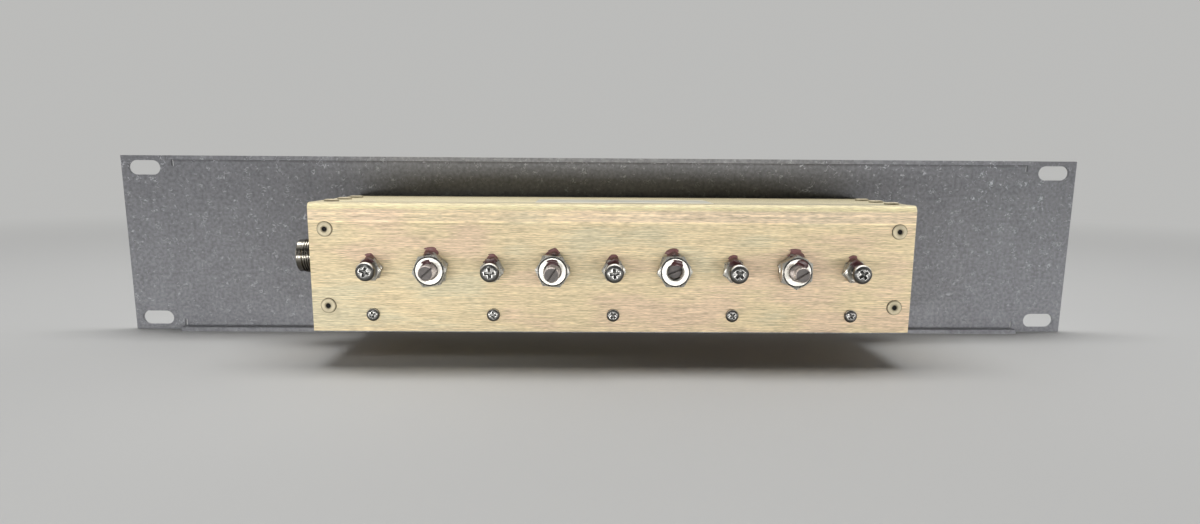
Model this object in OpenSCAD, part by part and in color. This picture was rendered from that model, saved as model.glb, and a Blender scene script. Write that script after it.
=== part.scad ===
// Rack-mounted preselector filter. Five coaxial resonators stand in a folded sheet housing
// behind a rack panel. Five tuning screws and four coupling screws enter through the
// housing's adjuster wall, each locked by a nut, and a coaxial jack stands on each end.
//
// X runs along the panel, Z is up, and Y = 0 is the rear face of the panel. The housing
// stands on the -Y side, and "depth" below is the distance from that face towards -Y.
// The origin is the centre of the four rack slots. Sizes are in millimetres.

/* [Rack panel] */
// Width of the rack panel over its ends
panel_w = 482.6; // [478:0.1:500]
// Height of the rack panel
panel_h = 88.1; // [84:0.1:100]
// Thickness of the rack panel
panel_t = 2.0; // [1.5:0.1:3]
// Length of the flat ear at each end, up to the middle of the relief slit
ear_l = 25.4; // [23:0.1:32]
// Depth of the folded top and bottom edges behind the panel's rear face
panel_edge_d = 7; // [4:0.1:14]
// Width of the relief slit at each end of a folded edge
slit_w = 1.2; // [0.8:0.1:2.5]
// Height of the relief slit
slit_h = 5.3; // [4:0.1:9]
// Width of a rack slot
slot_w = 7.1; // [6:0.1:8]
// Length of a rack slot, end to end
slot_l = 15.9; // [10:0.1:18]
// Distance from the panel's end to the middle of a rack slot
slot_inset = 11.3; // [10.2:0.1:13]
// Distance from the panel's top or bottom edge to the middle of a rack slot
slot_drop = 5.95; // [5:0.05:9]

/* [Housing] */
// Height of the housing
housing_h = 54; // [48:0.1:64]
// Depth of the housing, from the panel to the outer face of the adjuster wall
housing_d = 82.5; // [74:0.1:100]
// Distance from an outer resonator to the nearer end of the housing
end_margin = 25.4; // [23:0.1:32]
// Place of the housing's centre along the panel
housing_x = 2.8; // [-20:0.1:20]
// Height of the housing's centre above the panel's centre
housing_z = -2.1; // [-6:0.1:6]
// Thickness of the folded shell and of the end plates
sheet_t = 2.0; // [1.8:0.1:2.6]
// Thickness of the bottom cover
cover_t = 1.6; // [1.2:0.1:2.2]
// Inside radius of every fold
fold_r = 0.8; // [0.4:0.1:1.4]
// Width of the end plates' folded edges
end_edge_w = 13; // [12:0.1:15]
// Height of the bottom cover's folded edges
cover_edge_h = 14; // [13.5:0.1:16]
// Gap between the cover's folded edges and the end plates
cover_gap = 0.5; // [0.3:0.1:1.5]

/* [Resonators] */
// Spacing of the resonators
pitch = 50.8; // [46:0.1:60]
// Height of the resonators and adjusters above the housing's centre
row_z = -0.4; // [-3:0.1:3]
// Diameter of a resonator
resonator_d = 12.7; // [11:0.1:15]
// Gap from a resonator's open end to the adjuster wall
resonator_gap = 14.5; // [11:0.1:20]
// Diameter of the bore in a resonator's open end
resonator_bore_d = 8; // [6.5:0.1:9]
// Depth of that bore
resonator_bore_l = 30; // [20:0.5:36]

/* [Tuning screws] */
// Diameter of a tuning screw
tuning_d = 4.17; // [3.5:0.01:5]
// Length of a tuning screw under its head
tuning_l = 38.1; // [34:0.1:50]
// Diameter of a tuning screw's head
tuning_head_d = 7.9; // [6.5:0.1:9]
// Height of a tuning screw's head
tuning_head_h = 2.7; // [1.8:0.1:3.4]
// Usual distance from the adjuster wall to the top of a head
tuning_stand = 14; // [12:0.1:18]
// Width across the flats of the tuning bushings and lock nuts
tuning_hex = 8.73; // [8:0.01:10]
// Height of a tuning bushing's head
tuning_bushing_h = 2.0; // [1.5:0.1:3]
// Height of a tuning lock nut
tuning_nut_h = 3.2; // [2:0.1:4]
// Diameter of a tuning bushing's shank
tuning_shank_d = 6.35; // [5.8:0.05:7.2]

/* [Coupling screws] */
// Diameter of a coupling screw
coupling_d = 6.35; // [5.5:0.05:7]
// Length of a coupling screw
coupling_l = 50.8; // [44:0.1:60]
// Usual distance from the adjuster wall to the end of a coupling screw
coupling_stand = 17; // [14:0.1:20]
// Width of the screwdriver slot in a coupling screw
driver_slot_w = 0.8; // [0.7:0.1:1.6]
// Depth of that slot
driver_slot_h = 1.3; // [0.8:0.1:2]
// Width across the flats of the coupling bushings and lock nuts
coupling_hex = 12.7; // [11.8:0.1:14]
// Height of a coupling bushing's head
coupling_bushing_h = 3.2; // [2:0.1:4.5]
// Height of a coupling lock nut
coupling_nut_h = 4.8; // [3:0.1:6.5]
// Diameter of a coupling bushing's shank
coupling_shank_d = 9.5; // [8.6:0.1:10.5]

/* [Coaxial jacks] */
// Distance from the end plate to the mouth of a jack
jack_l = 21; // [19:0.1:25]
// Diameter of the coupling thread
jack_thread_d = 15.88; // [14.8:0.01:16.5]
// Length of the coupling thread
jack_thread_l = 9.5; // [8:0.1:11]
// Length of the smooth rim in front of the thread
jack_rim_l = 2.6; // [1.5:0.1:4]
// Bore of the jack's mouth
jack_mouth_d = 8.1; // [7.6:0.1:9]
// Depth of the mouth down to the insulator
jack_mouth_l = 9; // [8:0.1:11]
// Width of the square flange
jack_flange_w = 25.4; // [23:0.1:27]
// Thickness of the square flange
jack_flange_t = 2.5; // [2:0.1:4]
// Spacing of the four flange screws
jack_screw_pitch = 18.26; // [17.4:0.01:19]
// Depth of the input jack's axis, on the left end
input_depth = 30; // [24:0.1:50]
// Depth of the output jack's axis, on the right end
output_depth = 20; // [18.5:0.1:40]
// Diameter of the centre contact
contact_d = 3.0; // [2.6:0.1:3.6]
// Diameter of the tap wire
tap_d = 1.3; // [0.8:0.1:1.6]

/* [Fasteners] */
// Diameter of the small screws in the cover and the jack flanges
small_screw_d = 2.84; // [2.4:0.02:3.2]
// Length of a small screw under its head
small_screw_l = 6.4; // [6:0.1:8]
// Diameter of a small screw's head
small_head_d = 5.5; // [4.6:0.1:6]
// Height of a small screw's head
small_head_h = 1.7; // [1.2:0.1:2.2]
// Height of the cover screws above the bottom of the housing
cover_screw_h = 7.2; // [6:0.1:8.5]
// Diameter of the screws that hold the housing on the panel
panel_screw_d = 4.17; // [3.5:0.01:5]
// Length of a panel screw under its head
panel_screw_l = 12.7; // [11.5:0.1:16]
// Width across the flats of a panel nut
panel_nut_hex = 8.73; // [8:0.01:9.6]
// Height of a panel nut
panel_nut_h = 3.2; // [2.4:0.1:4]
// Distance of the panel screws from the housing's top and bottom
panel_screw_inset = 8.5; // [8:0.1:9.5]
// Diameter of a rivet
rivet_d = 3.2; // [2.4:0.1:3.6]
// Diameter of a rivet's head
rivet_head_d = 6.4; // [5.4:0.1:7]
// Height of a domed rivet head
rivet_head_h = 1.0; // [0.6:0.1:1.4]
// Diameter of the hole left by a rivet's pin
rivet_pin_d = 1.9; // [1.2:0.1:2]
// Distance from the housing's end to the rivets and screws of the end plates
rivet_inset = 6.8; // [6.2:0.1:8]
// Vertical spacing of the rivets in the adjuster wall
rivet_spacing_z = 32.2; // [24:0.1:34]
// Distance from the adjuster wall to the first top rivet
top_rivet_start = 12.2; // [9:0.1:18]
// Spacing of the top rivets
top_rivet_pitch = 20.6; // [16:0.1:22]

/* [Hidden] */
$fn = 64;
// How far a cutting shape runs past a face
cut = 0.5;
// Radial gap between a screw and its thread, and between a plain part and its hole
thread_gap = 0.05;
hole_gap = 0.2;
// Extra length of the open notch at each corner of an end plate
notch_gap = 0.2;
// Share of the width across flats that the chamfer leaves as a round face
hex_face = 0.88;
// Depth of the countersink in a nut, as a share of its bore
nut_sink = 0.09;
// Turn of each lock nut and bushing about its axis, as left by the spanner
tuning_nut_turn = [-2, -14, -6, 11, 4];
coupling_nut_turn = [8, -5, 0, 30];
bushing_turn = 12;
// How far each screw is set out from the usual distance, as left after tuning
tuning_set = [-1.5, 0, 0.5, 1.5, 0.5];
coupling_set = [-0.5, 3, -11.5, 0];
driver_slot_turn = [42, 55, 20, 32];
// Countersunk heads
flat_angle = 41;
flat_head_d = 6.6;
flat_screw_d = 3.5;
flat_screw_l = 10;
flush_rivet_head_d = 5.4;
// Nuts inside the adjuster wall, and how far the shanks reach in
inner_hex_margin = 4.76;
inner_nut_h = 2.8;
shank_reach = 6;
rivet_bulb_d = 1.45 * rivet_d;
rivet_bulb_l = 2.6;
// Steps of the jacks, in diameter: from the thread to the rim and to the neck behind it, and
// from the mouth to the insulator's bore
rim_step = 0.7;
neck_step = 1.7;
mouth_step = 1.2;
jack_rim_d = jack_thread_d - rim_step;
jack_neck_d = jack_thread_d - neck_step;
jack_bore_d = jack_mouth_d - mouth_step;
// Inside of the jacks
jack_boss_d = 11;
jack_boss_reach = 0.8;
jack_corner_r = 1.6;
insulator_reach = 2.4;
contact_tip = 4.2;
contact_reach = 6;
socket_d = 1.66;
socket_l = 5;
socket_slit_w = 0.3;
cup_l = 2.8;
tap_seat = 1.2;
tip_chamfer = 0.4;

count = 5;
middle = (count - 1) / 2;
tuning_x = [for (i = [0 : count - 1]) (i - middle) * pitch];
coupling_x = [for (i = [0 : count - 2]) (i - middle + 0.5) * pitch];
housing_w = (count - 1) * pitch + 2 * end_margin;
inner_d = housing_d - 2 * sheet_t;
inner_h = housing_h - sheet_t - cover_t;
inner_z = (cover_t - sheet_t) / 2;
corner_notch = sheet_t + fold_r + notch_gap;
cover_edge_w = housing_w - 2 * (end_edge_w + cover_gap);
resonator_l = inner_d - resonator_gap;
cover_screw_z = cover_screw_h - housing_h / 2;
panel_screw_z = housing_h / 2 - panel_screw_inset;
panel_screw_x = coupling_x[count - 2];
end_rivet_x = housing_w / 2 - rivet_inset;
top_rivet_depths = [for (k = [0 : 2]) housing_d - top_rivet_start - k * top_rivet_pitch];
tuning_inner_hex = tuning_shank_d + inner_hex_margin;
coupling_inner_hex = coupling_shank_d + inner_hex_margin;

// Places

// Origin at x and z on the housing and at a depth behind the panel, +Z pointing to -Y
module axis_at(x, z, depth) {
    translate([housing_x + x, -depth, housing_z + z]) rotate([90, 0, 0]) children();
}

// Origin on the outer face of the adjuster wall
module on_wall(x, z) {
    axis_at(x, z, housing_d) children();
}

// Origin on the top of the housing, +Z up
module on_top(x, depth) {
    translate([housing_x + x, -depth, housing_z + housing_h / 2]) children();
}

// Origin under the housing, +Z down
module under_housing(x, depth) {
    translate([housing_x + x, -depth, housing_z - housing_h / 2]) rotate([180, 0, 0]) children();
}

// Origin on the outer face of the left (-1) or right (1) end, +Z pointing outwards
module on_end(side, depth) {
    translate([housing_x + side * housing_w / 2, -depth, housing_z + row_z])
        rotate([0, side * 90, 0]) children();
}

// Extrude a section along X, its own x and y lying along Y and Z
module along_x(l) {
    rotate([90, 0, 90]) linear_extrude(height = l, center = true) children();
}

// Straight hole along Y between two depths
module drill(x, z, near, far, d) {
    axis_at(x, z, near - cut) cylinder(d = d, h = far - near + 2 * cut);
}

// Hole through a sheet that lies from z = -t to z = 0
module hole_down(d, t) {
    translate([0, 0, -t - cut]) cylinder(d = d, h = t + 2 * cut);
}

// Shapes

// Rectangle centred on x and standing on y = 0, its two lower corners rounded
module footed_rectangle(w, h, r) {
    translate([-w / 2, r]) square([w, h - r]);
    translate([r - w / 2, 0]) square([w - 2 * r, r]);
    for (s = [-1, 1]) translate([s * (w / 2 - r), r]) circle(r = r);
}

// Section of a sheet folded into a channel, w wide and h high outside
module channel_section(w, h, t) {
    difference() {
        footed_rectangle(w, h, t + fold_r);
        translate([0, t]) footed_rectangle(w - 2 * t, h, fold_r);
    }
}

// Rounded cap of radius r and height h whose rim stands at the height edge
module crowned_disc(r, h, edge) {
    sag = h - edge;
    ball_r = (r * r + sag * sag) / (2 * sag);
    rotate_extrude() intersection() {
        translate([0, h - ball_r]) circle(r = ball_r, $fn = 180);
        square([r, h]);
    }
}

// Pan-head screw, the underside of its head on z = 0
module pan_screw(d, l, head_d, head_h) {
    crowned_disc(head_d / 2, head_h, head_h * 0.55);
    translate([0, 0, -l]) cylinder(d = d, h = l + cut);
}

// Flat-head screw, its head flush with z = 0
module flat_screw(d, l, head_d) {
    head_h = (head_d - d) / 2 / tan(flat_angle);
    translate([0, 0, -head_h]) cylinder(d1 = d, d2 = head_d, h = head_h);
    translate([0, 0, -l]) cylinder(d = d, h = l - head_h / 2);
}

// Seat for a flush head of that shape, with a hole through the sheet
module flush_seat(d, head_d, t) {
    head_h = (head_d - d) / 2 / tan(flat_angle);
    translate([0, 0, -head_h]) cylinder(d1 = d, d2 = head_d, h = head_h);
    translate([0, 0, -t - cut]) cylinder(d = d, h = t + cut);
}

// Blind rivet through a stack of sheet that is grip thick, z = 0 being its outer face
module rivet_body(grip) {
    translate([0, 0, -grip - rivet_bulb_l]) cylinder(d = rivet_bulb_d, h = rivet_bulb_l);
    translate([0, 0, -grip - cut]) cylinder(d = rivet_d, h = grip + cut);
}

module domed_rivet(grip) {
    difference() {
        union() {
            crowned_disc(rivet_head_d / 2, rivet_head_h, rivet_head_h * 0.25);
            rivet_body(grip);
        }
        translate([0, 0, -grip / 2]) cylinder(d = rivet_pin_d, h = grip + rivet_head_h);
    }
}

module flush_rivet(grip) {
    difference() {
        union() {
            flat_screw(rivet_d, grip, flush_rivet_head_d);
            rivet_body(grip);
        }
        translate([0, 0, -grip / 2]) cylinder(d = rivet_pin_d, h = grip);
    }
}

// Hexagon bar on z = 0 with its corners chamfered at the top, and at the bottom too if asked
module hex_bar(af, h, both) {
    corner_r = af / 2 / cos(30);
    face_r = af / 2 * hex_face;
    drop = (corner_r - face_r) * tan(30);
    foot_r = both ? face_r : corner_r;
    foot_z = both ? drop : 0;
    intersection() {
        cylinder(r = corner_r, h = h, $fn = 6);
        rotate_extrude() polygon([
            [0, 0], [foot_r, 0], [corner_r, foot_z], [corner_r, h - drop], [face_r, h], [0, h]
        ]);
    }
}

// Hexagon nut on z = 0, with a countersink at the top of its thread
module hex_nut(af, h, d) {
    bore_d = d + 2 * thread_gap;
    sink = bore_d * nut_sink;
    difference() {
        hex_bar(af, h, true);
        translate([0, 0, -cut]) cylinder(d = bore_d, h = h + 2 * cut);
        translate([0, 0, h - sink]) cylinder(d1 = bore_d, d2 = bore_d + 4 * sink, h = 2 * sink);
    }
}

// Threaded bushing: its head stands on the wall at z = 0 and its shank passes through
module bushing(af, head_h, shank_d, d) {
    shank_l = sheet_t + shank_reach;
    difference() {
        union() {
            hex_bar(af, head_h, false);
            translate([0, 0, -shank_l]) cylinder(d = shank_d, h = shank_l + head_h / 2);
        }
        translate([0, 0, -shank_l - cut])
            cylinder(d = d + 2 * thread_gap, h = shank_l + head_h + 2 * cut);
    }
}

// Rack panel

module rack_slot() {
    straight = slot_l - slot_w;
    translate([-straight / 2, -panel_t, -slot_w / 2]) cube([straight, 3 * panel_t, slot_w]);
    for (s = [-1, 1]) translate([s * straight / 2, 2 * panel_t, 0]) rotate([90, 0, 0])
        cylinder(d = slot_w, h = 3 * panel_t);
}

module rack_panel() {
    ear_x = panel_w / 2 - ear_l;
    color("slategray") difference() {
        union() {
            translate([-panel_w / 2, 0, slit_h - panel_h / 2])
                cube([panel_w, panel_t, panel_h - 2 * slit_h]);
            for (s = [-1, 1]) translate([s * (panel_w / 2 + ear_x + slit_w / 2) / 2, panel_t / 2, 0])
                cube([panel_w / 2 - ear_x - slit_w / 2, panel_t, panel_h], center = true);
            along_x(2 * ear_x - slit_w) translate([panel_t, 0]) rotate(90)
                channel_section(panel_h, panel_edge_d + panel_t, panel_t);
        }
        for (sx = [-1, 1], sz = [-1, 1])
            translate([sx * (panel_w / 2 - slot_inset), 0, sz * (panel_h / 2 - slot_drop)])
                rack_slot();
        for (sx = [-1, 1], sz = [-1, 1])
            drill(sx * panel_screw_x, sz * panel_screw_z, -panel_t, 0, panel_screw_d + 2 * hole_gap);
    }
}

// Housing

module housing_shell() {
    color("#dccfa5") difference() {
        translate([housing_x, 0, housing_z])
            along_x(housing_w) translate([-housing_d / 2, housing_h / 2]) rotate(180)
                channel_section(housing_d, housing_h, sheet_t);
        for (x = tuning_x)
            on_wall(x, row_z) hole_down(tuning_shank_d + 2 * hole_gap, sheet_t);
        for (x = coupling_x)
            on_wall(x, row_z) hole_down(coupling_shank_d + 2 * hole_gap, sheet_t);
        for (x = tuning_x)
            on_wall(x, cover_screw_z) hole_down(small_screw_d + 2 * hole_gap, sheet_t);
        for (sx = [-1, 1], sz = [-1, 1])
            on_wall(sx * end_rivet_x, sz * rivet_spacing_z / 2)
                hole_down(rivet_d + 2 * thread_gap, sheet_t);
        for (sx = [-1, 1], depth = top_rivet_depths)
            on_top(sx * end_rivet_x, depth) hole_down(rivet_d + 2 * thread_gap, sheet_t);
        for (sx = [-1, 1], sz = [-1, 1])
            drill(sx * panel_screw_x, sz * panel_screw_z, 0, sheet_t, panel_screw_d + 2 * hole_gap);
        for (x = tuning_x) axis_at(x, row_z, 0) rotate([180, 0, 0])
            flush_seat(flat_screw_d + 2 * thread_gap, flat_head_d + 2 * thread_gap, sheet_t);
        for (sx = [-1, 1], sz = [-1, 1])
            axis_at(sx * end_rivet_x, sz * rivet_spacing_z / 2, 0) rotate([180, 0, 0])
                flush_seat(rivet_d + 2 * thread_gap, flush_rivet_head_d + 2 * thread_gap, sheet_t);
    }
}

// End plate: a shallow pan whose four folded edges lie against the shell and the cover
module end_plate(side, jack_depth) {
    color("#d8cba0") difference() {
        translate([housing_x + side * housing_w / 2, -housing_d / 2, housing_z + inner_z])
            mirror([side > 0 ? 1 : 0, 0, 0]) union() {
                linear_extrude(height = inner_h - 2 * corner_notch, center = true)
                    rotate(-90) channel_section(inner_d, end_edge_w, sheet_t);
                rotate([90, 0, 0])
                    linear_extrude(height = inner_d - 2 * corner_notch, center = true)
                        rotate(-90) channel_section(inner_h, end_edge_w, sheet_t);
            }
        on_end(side, jack_depth) {
            hole_down(jack_boss_d + 2 * hole_gap, sheet_t);
            for (a = [-1, 1], b = [-1, 1])
                translate([a * jack_screw_pitch / 2, b * jack_screw_pitch / 2, 0])
                    hole_down(small_screw_d + 2 * thread_gap, sheet_t);
        }
        for (sz = [-1, 1]) {
            on_wall(side * end_rivet_x, sz * rivet_spacing_z / 2)
                hole_down(rivet_d + 2 * thread_gap, 2 * sheet_t);
            drill(side * end_rivet_x, sz * rivet_spacing_z / 2, 0, 2 * sheet_t,
                rivet_d + 2 * thread_gap);
        }
        for (depth = top_rivet_depths) {
            on_top(side * end_rivet_x, depth) hole_down(rivet_d + 2 * thread_gap, 2 * sheet_t);
            under_housing(side * end_rivet_x, depth)
                hole_down(small_screw_d + 2 * thread_gap, cover_t + sheet_t);
        }
    }
}

module bottom_cover() {
    color("#d8cba0") difference() {
        translate([housing_x, -housing_d / 2, housing_z - housing_h / 2]) union() {
            along_x(cover_edge_w) channel_section(inner_d, cover_edge_h, cover_t);
            for (s = [-1, 1])
                translate([s * (housing_w + cover_edge_w) / 4 - (housing_w - cover_edge_w) / 4,
                    -inner_d / 2, 0])
                    cube([(housing_w - cover_edge_w) / 2, inner_d, cover_t]);
        }
        for (x = tuning_x)
            on_wall(x, cover_screw_z)
                hole_down(small_screw_d + 2 * thread_gap, sheet_t + cover_t);
        for (sx = [-1, 1]) {
            drill(sx * panel_screw_x, -panel_screw_z, sheet_t, sheet_t + cover_t,
                panel_screw_d + 2 * hole_gap);
            for (depth = top_rivet_depths)
                under_housing(sx * end_rivet_x, depth)
                    hole_down(small_screw_d + 2 * hole_gap, cover_t);
        }
    }
}

module wall_rivets() {
    color("#c9bd97") for (sx = [-1, 1], sz = [-1, 1])
        on_wall(sx * end_rivet_x, sz * rivet_spacing_z / 2) domed_rivet(2 * sheet_t);
}

module top_rivets() {
    color("#c9bd97") for (sx = [-1, 1], depth = top_rivet_depths)
        on_top(sx * end_rivet_x, depth) domed_rivet(2 * sheet_t);
}

module flush_rivets() {
    color("#c9bd97") for (sx = [-1, 1], sz = [-1, 1])
        axis_at(sx * end_rivet_x, sz * rivet_spacing_z / 2, 0) rotate([180, 0, 0])
            flush_rivet(2 * sheet_t);
}

module small_screw() {
    pan_screw(small_screw_d, small_screw_l, small_head_d, small_head_h);
}

module cover_screws() {
    color("gray") for (x = tuning_x) on_wall(x, cover_screw_z) small_screw();
}

module cover_end_screws() {
    color("gray") for (sx = [-1, 1], depth = top_rivet_depths)
        under_housing(sx * end_rivet_x, depth) small_screw();
}

module panel_screws() {
    color("silver") for (sx = [-1, 1], sz = [-1, 1])
        axis_at(sx * panel_screw_x, sz * panel_screw_z, -panel_t) rotate([180, 0, 0])
            pan_screw(panel_screw_d, panel_screw_l, 1.9 * panel_screw_d, 0.65 * panel_screw_d);
}

module panel_nuts() {
    color("silver") for (sx = [-1, 1], sz = [-1, 1])
        axis_at(sx * panel_screw_x, sz * panel_screw_z, sheet_t + (sz < 0 ? cover_t : 0))
            hex_nut(panel_nut_hex, panel_nut_h, panel_screw_d);
}

// Resonators

// Rod standing on the panel-side wall: screwed at its foot, bored at its open end, and
// drilled from the side where a tap wire enters
module resonator(x, tap_side, tap_depth) {
    color("gainsboro") difference() {
        axis_at(x, row_z, sheet_t) difference() {
            cylinder(d = resonator_d, h = resonator_l);
            translate([0, 0, -cut])
                cylinder(d = flat_screw_d + 2 * thread_gap, h = flat_screw_l + cut);
            translate([0, 0, resonator_l - resonator_bore_l])
                cylinder(d = resonator_bore_d, h = resonator_bore_l + cut);
        }
        if (tap_side != 0)
            on_end(tap_side, tap_depth) translate([0, 0, resonator_d / 2 - end_margin - tap_seat])
                cylinder(d = tap_d + 2 * thread_gap, h = resonator_d / 2);
    }
}

module resonator_screws() {
    color("silver") for (x = tuning_x) axis_at(x, row_z, 0) rotate([180, 0, 0])
        flat_screw(flat_screw_d, flat_screw_l, flat_head_d);
}

// Tuning adjusters

module tuning_screw(i) {
    color("dimgray") on_wall(tuning_x[i], row_z)
        translate([0, 0, tuning_stand + tuning_set[i] - tuning_head_h])
            pan_screw(tuning_d, tuning_l, tuning_head_d, tuning_head_h);
}

module tuning_bushings() {
    color("silver") for (i = [0 : count - 1])
        on_wall(tuning_x[i], row_z) rotate([0, 0, tuning_nut_turn[i] + bushing_turn])
            bushing(tuning_hex, tuning_bushing_h, tuning_shank_d, tuning_d);
}

module tuning_bushing_nuts() {
    color("silver") for (x = tuning_x)
        on_wall(x, row_z) translate([0, 0, -sheet_t - inner_nut_h])
            hex_nut(tuning_inner_hex, inner_nut_h, tuning_shank_d);
}

module tuning_lock_nuts() {
    color("silver") for (i = [0 : count - 1])
        on_wall(tuning_x[i], row_z) translate([0, 0, tuning_bushing_h])
            rotate([0, 0, tuning_nut_turn[i]]) hex_nut(tuning_hex, tuning_nut_h, tuning_d);
}

// Coupling adjusters

// Plain-ended screw with a screwdriver slot in its outer end
module coupling_screw(i) {
    stand = coupling_stand + coupling_set[i];
    color("gray") on_wall(coupling_x[i], row_z) translate([0, 0, stand - coupling_l])
        difference() {
            union() {
                cylinder(d1 = coupling_d - 2 * tip_chamfer, d2 = coupling_d, h = tip_chamfer);
                translate([0, 0, tip_chamfer])
                    cylinder(d = coupling_d, h = coupling_l - 2 * tip_chamfer);
                translate([0, 0, coupling_l - tip_chamfer])
                    cylinder(d1 = coupling_d, d2 = coupling_d - 2 * tip_chamfer, h = tip_chamfer);
            }
            rotate([0, 0, driver_slot_turn[i]])
                translate([-coupling_d, -driver_slot_w / 2, coupling_l - driver_slot_h])
                    cube([2 * coupling_d, driver_slot_w, driver_slot_h + cut]);
        }
}

module coupling_bushings() {
    color("silver") for (i = [0 : count - 2])
        on_wall(coupling_x[i], row_z) rotate([0, 0, coupling_nut_turn[i] + bushing_turn])
            bushing(coupling_hex, coupling_bushing_h, coupling_shank_d, coupling_d);
}

module coupling_bushing_nuts() {
    color("silver") for (x = coupling_x)
        on_wall(x, row_z) translate([0, 0, -sheet_t - inner_nut_h])
            hex_nut(coupling_inner_hex, inner_nut_h, coupling_shank_d);
}

module coupling_lock_nuts() {
    color("silver") for (i = [0 : count - 2])
        on_wall(coupling_x[i], row_z) translate([0, 0, coupling_bushing_h])
            rotate([0, 0, coupling_nut_turn[i]]) hex_nut(coupling_hex, coupling_nut_h, coupling_d);
}

// Coaxial jacks

module flange_outline() {
    flat = jack_flange_w / 2 - jack_corner_r;
    square([jack_flange_w, 2 * flat], center = true);
    square([2 * flat, jack_flange_w], center = true);
    for (a = [-1, 1], b = [-1, 1]) translate([a * flat, b * flat]) circle(r = jack_corner_r);
}

module jack_body(side, depth) {
    thread_top = jack_l - jack_rim_l;
    boss_l = sheet_t + jack_boss_reach;
    color("silver") on_end(side, depth) difference() {
        union() {
            linear_extrude(height = jack_flange_t) flange_outline();
            translate([0, 0, -boss_l]) cylinder(d = jack_boss_d, h = boss_l + cut);
            translate([0, 0, cut]) cylinder(d = jack_neck_d, h = thread_top - cut);
            translate([0, 0, thread_top - jack_thread_l])
                cylinder(d = jack_thread_d, h = jack_thread_l);
            translate([0, 0, thread_top - cut])
                cylinder(d = jack_rim_d, h = jack_rim_l + cut - tip_chamfer);
            translate([0, 0, jack_l - tip_chamfer])
                cylinder(d1 = jack_rim_d, d2 = jack_rim_d - 2 * tip_chamfer, h = tip_chamfer);
        }
        translate([0, 0, jack_l - jack_mouth_l])
            cylinder(d = jack_mouth_d, h = jack_mouth_l + cut);
        translate([0, 0, -boss_l - cut]) cylinder(d = jack_bore_d, h = boss_l + jack_l);
        for (a = [-1, 1], b = [-1, 1])
            translate([a * jack_screw_pitch / 2, b * jack_screw_pitch / 2, jack_flange_t])
                hole_down(small_screw_d + 2 * hole_gap, jack_flange_t);
    }
}

module jack_insulator(side, depth) {
    color("white") on_end(side, depth) translate([0, 0, -sheet_t - insulator_reach])
        difference() {
            cylinder(d = jack_bore_d - 2 * thread_gap,
                h = jack_l - jack_mouth_l + sheet_t + insulator_reach);
            translate([0, 0, -cut]) cylinder(d = contact_d + 2 * thread_gap, h = jack_l + cut);
        }
}

// Centre contact: a slit socket at the mouth and a solder cup inside the housing
module jack_contact(side, depth) {
    low = -sheet_t - contact_reach;
    tip = jack_l - contact_tip;
    color("gold") on_end(side, depth) difference() {
        translate([0, 0, low]) cylinder(d = contact_d, h = tip - low);
        translate([0, 0, tip - socket_l]) cylinder(d = socket_d, h = socket_l + cut);
        for (a = [0, 90]) rotate([0, 0, a])
            translate([-contact_d, -socket_slit_w / 2, tip - socket_l])
                cube([2 * contact_d, socket_slit_w, socket_l + cut]);
        translate([0, 0, low - cut]) cylinder(d = tap_d + 2 * thread_gap, h = cup_l + cut);
    }
}

module jack_screws(side, depth) {
    color("gray") on_end(side, depth) for (a = [-1, 1], b = [-1, 1])
        translate([a * jack_screw_pitch / 2, b * jack_screw_pitch / 2, jack_flange_t])
            small_screw();
}

// Wire from the solder cup into the side of the outer resonator
module tap_wire(side, depth) {
    outer = cup_l - sheet_t - contact_reach;
    inner = resonator_d / 2 - end_margin - tap_seat;
    color("peru") on_end(side, depth) translate([0, 0, inner])
        cylinder(d = tap_d, h = outer - inner);
}

rack_panel();
housing_shell();
end_plate(-1, input_depth);  // left_end_plate
end_plate(1, output_depth);  // right_end_plate
bottom_cover();
wall_rivets();
top_rivets();
flush_rivets();
cover_screws();
cover_end_screws();
panel_screws();
panel_nuts();
resonator(tuning_x[0], -1, input_depth);  // resonator_1
resonator(tuning_x[1], 0, 0);  // resonator_2
resonator(tuning_x[2], 0, 0);  // resonator_3
resonator(tuning_x[3], 0, 0);  // resonator_4
resonator(tuning_x[4], 1, output_depth);  // resonator_5
resonator_screws();
tuning_screw(0);  // tuning_screw_1
tuning_screw(1);  // tuning_screw_2
tuning_screw(2);  // tuning_screw_3
tuning_screw(3);  // tuning_screw_4
tuning_screw(4);  // tuning_screw_5
tuning_bushings();
tuning_bushing_nuts();
tuning_lock_nuts();
coupling_screw(0);  // coupling_screw_1
coupling_screw(1);  // coupling_screw_2
coupling_screw(2);  // coupling_screw_3
coupling_screw(3);  // coupling_screw_4
coupling_bushings();
coupling_bushing_nuts();
coupling_lock_nuts();
jack_body(-1, input_depth);  // input_jack
jack_insulator(-1, input_depth);  // input_insulator
jack_contact(-1, input_depth);  // input_contact
jack_screws(-1, input_depth);  // input_jack_screws
tap_wire(-1, input_depth);  // input_tap
jack_body(1, output_depth);  // output_jack
jack_insulator(1, output_depth);  // output_insulator
jack_contact(1, output_depth);  // output_contact
jack_screws(1, output_depth);  // output_jack_screws
tap_wire(1, output_depth);  // output_tap
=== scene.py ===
import math

import bmesh
import bpy
import numpy as np
from bpy.props import FloatProperty, FloatVectorProperty, PointerProperty
from mathutils import Matrix, Vector


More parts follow.
